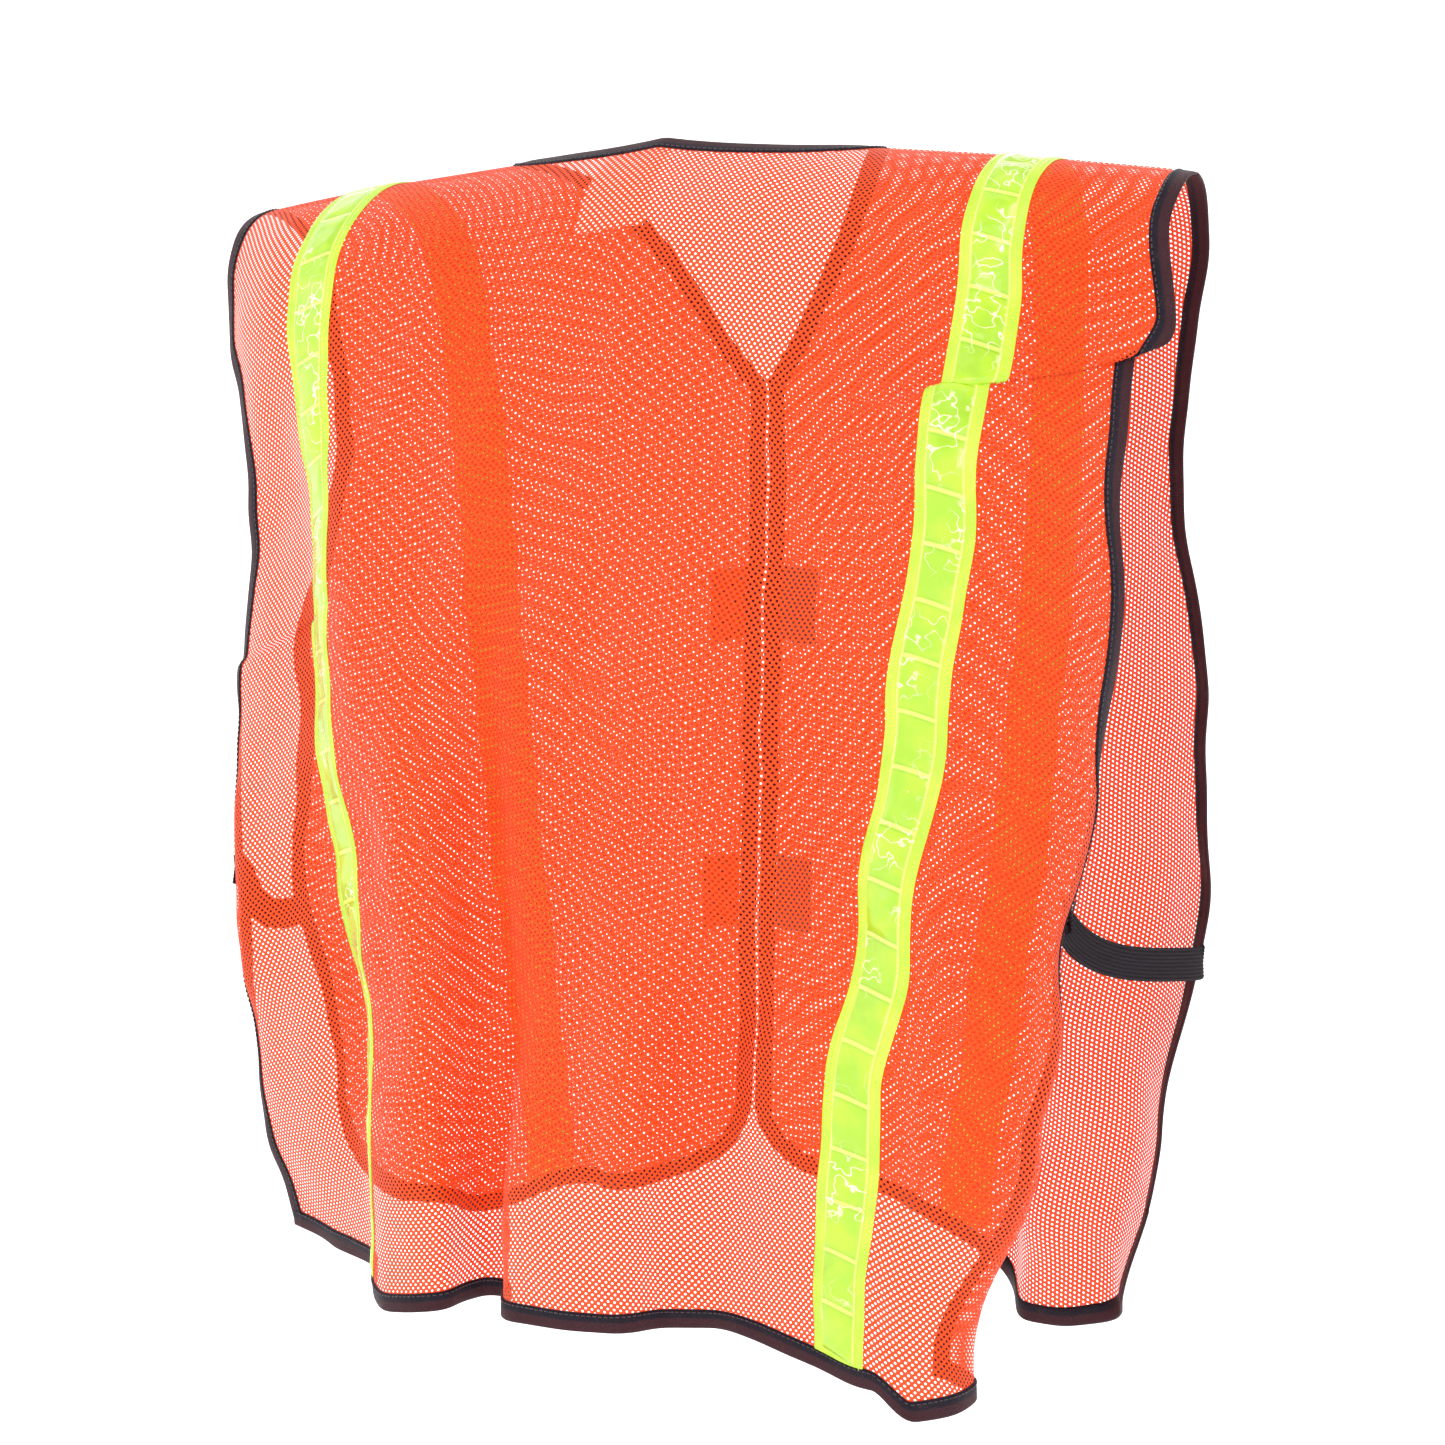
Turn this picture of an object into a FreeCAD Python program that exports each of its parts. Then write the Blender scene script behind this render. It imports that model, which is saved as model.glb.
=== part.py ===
"""High visibility mesh vest: two fronts and a back, edge binding, PVC tapes, elastic side straps.

Frame: millimetres, +Z up, the wearer faces -Y and the wearer's left is +X.  The origin is where the
shoulder line crosses the middle plane.  Each cloth layer is a loft through shoulder-to-hem profiles,
and each piece is what its own outline cuts from a layer.
"""
import FreeCAD, Part
import os

import Sketcher

DOC = FreeCAD.newDocument("mesh_vest")
SHEET = DOC.addObject("Spreadsheet::Sheet", "Sizes")

SIZES = {
    # stations across the shoulder: distance from the middle, top of the cloth, depth of the roll
    # over the shoulder, and how much further out the cloth hangs at its lower end
    "station_a": 0.0, "crest_a": 22.0, "depth_a": 96.0, "flare_a": 42.0,
    "station_b": 60.0, "crest_b": 12.0, "depth_b": 96.0, "flare_b": 42.0,
    "station_c": 112.0, "crest_c": 3.0, "depth_c": 94.0, "flare_c": 39.0,
    "station_d": 205.0, "crest_d": -6.0, "depth_d": 84.0, "flare_d": 32.0,
    "station_e": 296.0, "crest_e": -18.0, "depth_e": 53.0, "flare_e": 16.0,
    "station_f": 330.0, "crest_f": -27.0, "depth_f": 38.0, "flare_f": 12.0,
    "skirt_end": -760.0, "seam_gap": 0.4,
    # cloth layers, measured inward (minus) and outward (plus) from the panel's outer face
    "flush": 0.0, "mesh_inner": -1.0, "binding_inner": -1.9, "binding_outer": 0.9,
    "tape_outer": 0.8, "film_outer": 1.8,
    # outlines
    "middle": 0.0, "above": 60.0, "neck_half": 108.0, "neck_end": -8.0, "neck_radius": 370.0,
    "vee_bottom": -150.0,
    "shoulder_half": 304.0, "armhole_top": -60.0, "armhole_low": -330.0, "armhole_radius": 520.0,
    "back_armhole_half": 272.0, "back_strap_half": 280.0, "back_strap_level": -480.0,
    "back_corner_half": 246.0, "back_corner_low": -690.0, "back_hem_half": 230.0,
    "back_hem_side": -706.0, "back_hem_radius": 715.0,
    "front_armhole_half": 291.0, "front_side_half": 304.0, "front_side_low": -600.0,
    "front_corner_radius": 92.0, "front_hem_half": 215.0, "front_hem_side": -686.0,
    "front_hem_radius": 700.0, "front_hem_middle": 34.0, "front_hem_middle_level": -645.0,
    "front_nose_radius": 40.0, "front_edge_low": -608.0, "front_gap": 1.0,
    # trims
    "binding_width": 10.0, "cutter_depth": 200.0, "split_level": -560.0, "front_split_half": 232.0,
    "tape_shoulder": 210.0, "tape_hem": 165.0, "tape_front_hem": 160.0, "tape_half": 17.5,
    "film_half": 11.5, "back_tape_low": -670.0, "front_tape_low": -662.0,
    "seam_near": 121.0, "seam_far": 291.0, "seam_wide": 9.0, "seam_inner": -1.9,
    "patch_near": 13.0, "patch_far": 37.0, "patch_outer": 1.6, "patch_inner": -2.6,
    "upper_patch_low": -298.0, "upper_patch_high": -250.0,
    "lower_patch_low": -488.0, "lower_patch_high": -440.0,
    "label_wide": 41.0, "label_tall": 61.0, "label_middle": 22.0, "label_thick": 0.4,
    "label_offset": -3.0, "label_start": 34.0, "label_stitch_tall": 2.5,
    "strap_low": -488.0, "strap_width": 20.0, "strap_high": -468.0, "strap_thick": 1.4,
    "strap_back_half": 281.5, "strap_back_depth": 66.0,
    "strap_front_half": 302.5, "strap_front_depth": -54.0,
    "tack_outer": 1.7, "back_tack_near": 270.0, "back_tack_far": 278.0,
    "front_tack_near": 290.0, "front_tack_far": 298.5,
}

for row, (alias, number) in enumerate(SIZES.items(), start=1):
    SHEET.set(f"A{row}", alias)
    SHEET.set(f"B{row}", str(number))
    SHEET.setAlias(f"B{row}", alias)
DOC.recompute()


def value(name):
    """The number in a cell, or the sum of a tuple of cells; a leading minus turns the sign."""
    if isinstance(name, tuple):
        return sum(value(part) for part in name)
    if name.startswith("-"):
        return -getattr(SHEET, name[1:])
    return getattr(SHEET, name)


def cells(names):
    """One cell or a tuple of cells, as a tuple."""
    return names if isinstance(names, tuple) else (names,)


def formula(name):
    """The expression that reads the same cell."""
    if name.startswith("-"):
        return "-Sizes." + name[1:]
    return "Sizes." + name


def bind(thing, prop, *names):
    """Bind one property to the sum of some cells."""
    thing.setExpression(prop, " + ".join("(" + formula(name) + ")" for name in names))
    return thing


def sketch_on(name, rotation):
    sketch = DOC.addObject("Sketcher::SketchObject", name)
    sketch.Placement = FreeCAD.Placement(FreeCAD.Vector(0, 0, 0), rotation)
    return sketch


# A sketch turned so that its own x, y run along the world's Y, Z or X, Z.
FACING_X = FreeCAD.Rotation(FreeCAD.Vector(1, 1, 1), 120)
FACING_Y = FreeCAD.Rotation(FreeCAD.Vector(1, 0, 0), 90)


def hold(sketch, geometry, point, across, up):
    """Fix one point of a sketch at two cells, each a list of names that are added up."""
    for kind, names in (("DistanceX", across), ("DistanceY", up)):
        number = sum(value(name) for name in names)
        index = sketch.addConstraint(Sketcher.Constraint(kind, -1, 1, geometry, point, number))
        bind(sketch, f"Constraints[{index}]", *names)


def profile(name, letter, x_sign, y_sign, inner, outer):
    """One shoulder-to-hem section of a layer: two quarter arcs and two straight drops, closed."""
    sketch = sketch_on(name, FACING_X)
    bind(sketch, "Placement.Base.x", ("-" if x_sign < 0 else "") + "station_" + letter)
    crest, depth = value("crest_" + letter), value("depth_" + letter)
    middle = crest - depth
    gap, end, flare = value("seam_gap"), value("skirt_end"), value("flare_" + letter)
    up = FreeCAD.Vector(0, 0, 1)

    def place(across, height):
        return FreeCAD.Vector(y_sign * (gap + across), height, 0)

    def arc(radius):
        circle = Part.Circle(place(0, middle), up, radius)
        start = 0.0 if y_sign > 0 else FreeCAD.Units.Quantity("90 deg").getValueAs("rad").Value
        quarter = FreeCAD.Units.Quantity("90 deg").getValueAs("rad").Value
        return Part.ArcOfCircle(circle, start, start + quarter)

    low, high = depth + value(inner), depth + value(outer)
    drop_end = 1 if y_sign > 0 else 2
    seam_end = 2 if y_sign > 0 else 1
    outer_arc = sketch.addGeometry(arc(high))
    inner_arc = sketch.addGeometry(arc(low))
    outer_drop = sketch.addGeometry(Part.LineSegment(place(high, middle), place(high + flare, end)))
    hem = sketch.addGeometry(Part.LineSegment(place(high + flare, end), place(low + flare, end)))
    inner_drop = sketch.addGeometry(Part.LineSegment(place(low + flare, end), place(low, middle)))
    seam = sketch.addGeometry(Part.LineSegment(place(0, middle + low), place(0, middle + high)))
    for first, one, second, two in ((outer_arc, drop_end, outer_drop, 1), (outer_drop, 2, hem, 1),
                                    (hem, 2, inner_drop, 1), (inner_drop, 2, inner_arc, drop_end),
                                    (inner_arc, seam_end, seam, 1), (seam, 2, outer_arc, seam_end)):
        sketch.addConstraint(Sketcher.Constraint("Coincident", first, one, second, two))
    sketch.addConstraint(Sketcher.Constraint("Coincident", outer_arc, 3, inner_arc, 3))
    sketch.addConstraint(Sketcher.Constraint("Horizontal", outer_arc, 3, outer_arc, drop_end))
    sketch.addConstraint(Sketcher.Constraint("Horizontal", inner_arc, 3, inner_arc, drop_end))
    sketch.addConstraint(Sketcher.Constraint("Vertical", outer_arc, 3, outer_arc, seam_end))
    sketch.addConstraint(Sketcher.Constraint("Vertical", inner_arc, 3, inner_arc, seam_end))
    for piece, layer in ((outer_arc, outer), (inner_arc, inner)):
        index = sketch.addConstraint(Sketcher.Constraint("Radius", piece, depth + value(layer)))
        bind(sketch, f"Constraints[{index}]", "depth_" + letter, layer)
    side = "" if y_sign > 0 else "-"
    hold(sketch, outer_arc, 3, [side + "seam_gap"], ["crest_" + letter, "-depth_" + letter])
    for point, layer in ((1, outer), (2, inner)):
        reach = [side + cell for cell in ("seam_gap", "depth_" + letter, "flare_" + letter)]
        turned = layer if y_sign > 0 else "-" + layer
        hold(sketch, hem, point, reach + [turned], ["skirt_end"])
    return sketch


def layer(name, y_sign, inner, outer):
    """A cloth layer over the whole back (+1) or over both fronts (-1)."""
    stations = [("f", -1), ("e", -1), ("d", -1), ("c", -1), ("b", -1), ("a", 1),
                ("b", 1), ("c", 1), ("d", 1), ("e", 1), ("f", 1)]
    loft = DOC.addObject("Part::Loft", name)
    loft.Sections = [profile(f"{name}_{number}", letter, x_sign, y_sign, inner, outer)
                     for number, (letter, x_sign) in enumerate(stations)]
    loft.Solid = True
    loft.Ruled = False
    return loft


def outline(name, corners):
    """A closed sketch in the X, Z plane.  Each corner gives its two cells, and how the next corner is
    reached: a radius cell with a side (+1 bulges to the left of the way there), or nothing."""
    sketch = sketch_on(name, FACING_Y)
    points = [FreeCAD.Vector(value(across), value(up), 0) for across, up, _, _ in corners]
    for number, (_, _, radius, side) in enumerate(corners):
        start, end = points[number], points[(number + 1) % len(points)]
        if radius is None:
            sketch.addGeometry(Part.LineSegment(start, end))
            continue
        half = (end - start) * 0.5
        left = FreeCAD.Vector(-half.y, half.x, 0).normalize()
        size = value(radius)
        rise = size - (size ** 2 - half.Length ** 2) ** 0.5
        sketch.addGeometry(Part.Arc(start, start + half + left * (side * rise), end))
    for number in range(len(corners)):
        following = (number + 1) % len(corners)
        last = end_of(sketch, number, points[following])
        first = end_of(sketch, following, points[following])
        sketch.addConstraint(Sketcher.Constraint("Coincident", number, last, following, first))
    for number, (across, up, radius, _) in enumerate(corners):
        hold(sketch, number, end_of(sketch, number, points[number]), cells(across), cells(up))
        if radius is not None:
            index = sketch.addConstraint(Sketcher.Constraint("Radius", number, value(radius)))
            bind(sketch, f"Constraints[{index}]", radius)
    return sketch


def end_of(sketch, geometry, point):
    """Which end of a piece of geometry lies at a point: 1 for its start, 2 for its end."""
    start, end = sketch.getPoint(geometry, 1), sketch.getPoint(geometry, 2)
    return 1 if (start - point).Length < (end - point).Length else 2


def cutter(name, source):
    """An outline made into a block that runs right through the vest."""
    block = DOC.addObject("Part::Extrusion", name)
    block.Base = source
    block.DirMode = "Custom"
    block.Dir = FreeCAD.Vector(0, 1, 0)
    block.Solid = True
    bind(block, "LengthFwd", "cutter_depth")
    bind(block, "LengthRev", "cutter_depth")
    return block


def inset(name, source):
    """The same outline, one binding's width further in."""
    inner = DOC.addObject("Part::Offset2D", name)
    inner.Source = source
    bind(inner, "Value", "-binding_width")
    return inner


def common(name, *things):
    """A piece: what all of these share."""
    piece = DOC.addObject("Part::MultiCommon", name)
    piece.Shapes = list(things)
    piece.Label = name
    return piece


def cut(name, base, tool):
    piece = DOC.addObject("Part::Cut", name)
    piece.Base = base
    piece.Tool = tool
    return piece


def zone(name, x_low, x_high, z_low, z_high):
    """A box through the vest between two levels and two distances from the middle plane."""
    box = DOC.addObject("Part::Box", name)
    bind(box, "Length", x_high, flip(x_low))
    bind(box, "Width", "cutter_depth", "cutter_depth")
    bind(box, "Height", z_high, flip(z_low))
    bind(box, "Placement.Base.x", x_low)
    bind(box, "Placement.Base.y", "-cutter_depth")
    bind(box, "Placement.Base.z", z_low)
    return box


def flip(name):
    return name[1:] if name.startswith("-") else "-" + name


def mirrored(name, source):
    """The same solid on the wearer's other side."""
    twin = DOC.addObject("Part::Mirroring", name)
    twin.Source = source
    twin.Normal = FreeCAD.Vector(1, 0, 0)
    twin.Base = FreeCAD.Vector(0, 0, 0)
    twin.Label = name
    return twin


PIECES = []


def keep(*pieces):
    PIECES.extend(pieces)


def both(name, left):
    """Keep a left piece and its right twin."""
    keep(left, mirrored("right_" + name, left))


# ---- cloth layers
back_mesh = layer("back_mesh", 1, "mesh_inner", "flush")
back_edge = layer("back_edge", 1, "binding_inner", "binding_outer")
back_tape = layer("back_tape", 1, "flush", "tape_outer")
back_film = layer("back_film", 1, "tape_outer", "film_outer")
back_lining = layer("back_lining", 1, "seam_inner", "mesh_inner")
back_stitch = layer("back_stitch", 1, "binding_outer", "tack_outer")
front_mesh = layer("front_mesh", -1, "mesh_inner", "flush")
front_edge = layer("front_edge", -1, "binding_inner", "binding_outer")
front_tape = layer("front_tape", -1, "flush", "tape_outer")
front_film = layer("front_film", -1, "tape_outer", "film_outer")
front_loop = layer("front_loop", -1, "flush", "patch_outer")
front_hook = layer("front_hook", -1, "patch_inner", "mesh_inner")
front_stitch = layer("front_stitch", -1, "binding_outer", "tack_outer")

# ---- back panel and its bindings
back_outline = outline("back_outline", [
    ("neck_half", "neck_end", None, 0),
    ("neck_half", "above", None, 0),
    ("shoulder_half", "above", None, 0),
    ("shoulder_half", "armhole_top", "armhole_radius", -1),
    ("back_armhole_half", "armhole_low", None, 0),
    ("back_strap_half", "back_strap_level", None, 0),
    ("back_corner_half", "back_corner_low", None, 0),
    ("back_hem_half", "back_hem_side", "back_hem_radius", -1),
    ("-back_hem_half", "back_hem_side", None, 0),
    ("-back_corner_half", "back_corner_low", None, 0),
    ("-back_strap_half", "back_strap_level", None, 0),
    ("-back_armhole_half", "armhole_low", "armhole_radius", -1),
    ("-shoulder_half", "armhole_top", None, 0),
    ("-shoulder_half", "above", None, 0),
    ("-neck_half", "above", None, 0),
    ("-neck_half", "neck_end", "neck_radius", 1),
])
back_block = cutter("back_block", back_outline)
back_core = cutter("back_core", inset("back_inset", back_outline))
back_ring = cut("back_ring", back_block, back_core)
back_side_zone = zone("back_side_zone", "back_hem_half", "station_f", "skirt_end", "above")
back_neck_zone = zone("back_neck_zone", "-back_hem_half", "back_hem_half", "split_level", "above")
back_hem_zone = zone("back_hem_zone", "-back_hem_half", "back_hem_half", "skirt_end", "split_level")
keep(common("back_mesh_panel", back_mesh, back_core))
both("back_side_binding", common("left_back_side_binding", back_edge, back_ring, back_side_zone))
keep(common("back_neck_binding", back_edge, back_ring, back_neck_zone))
keep(common("back_hem_binding", back_edge, back_ring, back_hem_zone))

# ---- front panels and their bindings
front_outline = outline("front_outline", [
    ("front_gap", "vee_bottom", None, 0),
    ("neck_half", "neck_end", None, 0),
    ("neck_half", "above", None, 0),
    ("shoulder_half", "above", None, 0),
    ("shoulder_half", "armhole_top", "armhole_radius", -1),
    ("front_armhole_half", "armhole_low", None, 0),
    ("front_side_half", "front_side_low", "front_corner_radius", 1),
    ("front_hem_half", "front_hem_side", "front_hem_radius", 1),
    ("front_hem_middle", "front_hem_middle_level", "front_nose_radius", 1),
    ("front_gap", "front_edge_low", None, 0),
])
front_block = cutter("front_block", front_outline)
front_core = cutter("front_core", inset("front_inset", front_outline))
front_ring = cut("front_ring", front_block, front_core)
front_side_zone = zone("front_side_zone", "front_split_half", "station_f", "skirt_end", "above")
front_edge_zone = zone("front_edge_zone", "middle", "front_split_half", "split_level", "above")
front_hem_zone = zone("front_hem_zone", "middle", "front_split_half", "skirt_end", "split_level")
both("front_mesh_panel", common("left_front_mesh_panel", front_mesh, front_core))
both("front_side_binding", common("left_front_side_binding", front_edge, front_ring, front_side_zone))
both("front_edge_binding", common("left_front_edge_binding", front_edge, front_ring, front_edge_zone))
both("front_hem_binding", common("left_front_hem_binding", front_edge, front_ring, front_hem_zone))


# ---- reflective tapes: a stitched backing and the moulded prism film on it
def tape_cutter(name, half, hem, low):
    """A strip from over the shoulder down to the hem."""
    return cutter(name, outline(name + "_outline", [
        (("tape_shoulder", half), "above", None, 0),
        ((hem, half), low, None, 0),
        ((hem, "-" + half), low, None, 0),
        (("tape_shoulder", "-" + half), "above", None, 0),
    ]))


for face, backing, film, hem, low in (
        ("back", back_tape, back_film, "tape_hem", "back_tape_low"),
        ("front", front_tape, front_film, "tape_front_hem", "front_tape_low")):
    wide = tape_cutter(face + "_tape_strip", "tape_half", hem, low)
    narrow = tape_cutter(face + "_film_strip", "film_half", hem, low)
    both(face + "_tape_backing", common(f"left_{face}_tape_backing", backing, wide))
    both(face + "_prism_film", common(f"left_{face}_prism_film", film, narrow))

# ---- seam allowance inside each shoulder
seam_box = DOC.addObject("Part::Box", "seam_box")
bind(seam_box, "Length", "seam_far", "-seam_near")
bind(seam_box, "Width", "seam_wide")
bind(seam_box, "Height", "above", "above")
bind(seam_box, "Placement.Base.x", "seam_near")
bind(seam_box, "Placement.Base.z", "-above")
both("shoulder_seam", common("left_shoulder_seam", back_lining, seam_box))

# ---- hook and loop closure: loop on the left front's outside, hook on the right front's inside
for place in ("upper", "lower"):
    limits = (place + "_patch_low", place + "_patch_high")
    left_zone = zone(f"{place}_loop_zone", "patch_near", "patch_far", *limits)
    right_zone = zone(f"{place}_hook_zone", "-patch_far", "-patch_near", *limits)
    keep(common(place + "_loop_patch", front_loop, left_zone))
    keep(common(place + "_hook_patch", front_hook, right_zone))

# ---- elastic side straps and the stitched ends that hold them
back_tack_zone = zone("back_tack_zone", "back_tack_near", "back_tack_far", "strap_low", "strap_high")
front_tack_zone = zone("front_tack_zone", "front_tack_near", "front_tack_far", "strap_low",
                       "strap_high")
both("strap_back_tack", common("left_strap_back_tack", back_stitch, back_tack_zone))
both("strap_front_tack", common("left_strap_front_tack", front_stitch, front_tack_zone))

strap_start = FreeCAD.Vector(value("strap_back_half"), value("strap_back_depth"), value("strap_low"))
strap_finish = FreeCAD.Vector(value("strap_front_half"), value("strap_front_depth"),
                              value("strap_low"))
strap_run = strap_finish - strap_start
left_strap = DOC.addObject("Part::Box", "left_side_strap")
left_strap.Length = strap_run.Length
bind(left_strap, "Width", "strap_thick")
bind(left_strap, "Height", "strap_width")
left_strap.Placement = FreeCAD.Placement(
    strap_start, FreeCAD.Rotation(FreeCAD.Vector(1, 0, 0), strap_run))
both("side_strap", left_strap)

# ---- care label inside the back neck, and the stitching along its top
lining_radius = value("depth_b") + value("label_offset")
half_turn = FreeCAD.Units.Quantity("1 rad").getValueAs("deg").Value * (
    value("label_tall") / (2 * lining_radius))
label_hinge = FreeCAD.Rotation(FreeCAD.Vector(-1, 0, 0), value("label_start")).multVec(
    FreeCAD.Vector(0, 0, lining_radius)) + FreeCAD.Vector(0, 0, value("crest_b") - value("depth_b"))
label_hinge.x = value("label_middle") - value("label_wide") / 2
label_tilt = FreeCAD.Rotation(FreeCAD.Vector(-1, 0, 0), value("label_start") + half_turn)
label = DOC.addObject("Part::Box", "care_label")
stitching = DOC.addObject("Part::Box", "care_label_stitching")
for piece, thick, tall, side in ((label, "label_thick", "label_tall", 1),
                                 (stitching, "label_thick", "label_stitch_tall", -1)):
    bind(piece, "Length", "label_wide")
    bind(piece, "Height", thick)
    bind(piece, "Width", tall)
    start = 0.0 if side > 0 else -value(tall) - value("seam_gap")
    piece.Placement = FreeCAD.Placement(
        label_hinge + label_tilt.multVec(FreeCAD.Vector(0, start, 0)), label_tilt)
    keep(piece)

DOC.recompute()
for thing in DOC.Objects:
    if "Invalid" in thing.State or "Error" in thing.State:
        raise RuntimeError(f"{thing.Name} is {thing.State}")
os.makedirs("parts", exist_ok=True)
for piece in PIECES:
    solid = piece.Shape
    if solid.isNull() or not solid.isValid() or len(solid.Solids) != 1:
        raise RuntimeError(f"{piece.Label} is not one valid solid")
    solid.exportStep(f"parts/{piece.Label}.step")
    print(f"{piece.Label:28s} {solid.Volume / 1000:9.2f} cm3")
print(len(PIECES), "pieces; label hinge", label_hinge)
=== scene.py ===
"""High visibility mesh vest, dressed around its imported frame.

Metres, +Z up, the wearer faces -Y and the wearer's left is +X.  Every cloth piece is laid out flat
first: "across" runs over the panel from its middle line, "down" runs from the shoulder crest to the
hem.  A Drape says where each point of a panel hangs, and bindings, tapes and stitches follow it.
"""

import logging
import math
from dataclasses import dataclass, field
from enum import Enum
from typing import Callable, Sequence

import bpy
import numpy as np
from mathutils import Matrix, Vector


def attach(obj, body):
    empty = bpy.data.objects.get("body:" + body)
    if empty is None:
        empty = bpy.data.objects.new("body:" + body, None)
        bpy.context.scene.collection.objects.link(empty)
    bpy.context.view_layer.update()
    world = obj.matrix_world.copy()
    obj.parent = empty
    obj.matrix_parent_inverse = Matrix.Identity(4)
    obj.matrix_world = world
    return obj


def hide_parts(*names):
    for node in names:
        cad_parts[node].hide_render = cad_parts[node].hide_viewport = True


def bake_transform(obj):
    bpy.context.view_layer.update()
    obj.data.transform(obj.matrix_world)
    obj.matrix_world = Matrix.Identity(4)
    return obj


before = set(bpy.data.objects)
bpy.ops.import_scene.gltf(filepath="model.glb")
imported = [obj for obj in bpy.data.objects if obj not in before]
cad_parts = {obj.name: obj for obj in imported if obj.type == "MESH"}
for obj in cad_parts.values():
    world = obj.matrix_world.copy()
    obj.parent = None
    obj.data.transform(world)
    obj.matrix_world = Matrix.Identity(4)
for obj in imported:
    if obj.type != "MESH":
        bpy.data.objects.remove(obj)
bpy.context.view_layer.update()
LOG = logging.getLogger("vest")
Floats = tuple[float, ...]
Piece = bpy.types.Object
Socket = bpy.types.NodeSocket
logging.basicConfig(level=logging.INFO, format="%(message)s")


class Side(Enum):
    """A side of the wearer; the value is the sign of its X."""

    LEFT = 1
    RIGHT = -1

    @property
    def word(self) -> str:
        """The side as it stands in a node's name."""
        return self.name.lower()


class Face(Enum):
    """Which face of the body a panel hangs on; the value is the sign of its Y."""

    BACK = 1
    FRONT = -1

    @property
    def word(self) -> str:
        """The face as it stands in a node's name."""
        return self.name.lower()


# ---- drape
def ease(value: np.ndarray) -> np.ndarray:
    """A smooth step from 0 to 1 as value goes from 0 to 1."""
    held = np.clip(value, 0.0, 1.0)
    return held * held * (3.0 - 2.0 * held)


def along(value: np.ndarray, stations: Sequence[float], levels: Sequence[float]) -> np.ndarray:
    """A smooth curve through a few listed levels, flat at each of them.

    Args:
        value: where to read the curve.
        stations: rising places of the levels.
        levels: the curve's value at each station.
    Returns:
        The curve at every value.
    """
    places, heights = np.asarray(stations, float), np.asarray(levels, float)
    number = np.clip(np.searchsorted(places, value) - 1, 0, len(places) - 2)
    share = (value - places[number]) / (places[number + 1] - places[number])
    return heights[number] + (heights[number + 1] - heights[number]) * ease(share)


@dataclass(frozen=True)
class Row:
    """How the cloth lies across the body at one distance below the shoulder.

    heading is the way the cloth runs, in degrees from straight across, at places over the panel;
    where it is positive the cloth turns back towards the body.  anchor is where the panel's
    middle line is, across and out.
    """

    down: float
    anchor: tuple[float, float]
    places: Floats
    heading: Floats


@dataclass(frozen=True)
class Tuck:
    """A crosswise fold where the cloth is caught up over itself."""

    inner: float
    outer: float
    level: float
    slope: float
    taken: float
    shift: float
    window: float = 0.016

    def share(self, across: np.ndarray, down: np.ndarray) -> tuple[np.ndarray, np.ndarray]:
        """How much of the fold is taken up at each point, and the distance below it."""
        reach = ease((across - self.inner) / (self.outer - self.inner))
        line = self.level - self.slope * (across - self.inner) ** 2
        below = down - line
        return reach * ease(below / self.window), np.maximum(below, 0.0)


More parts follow.
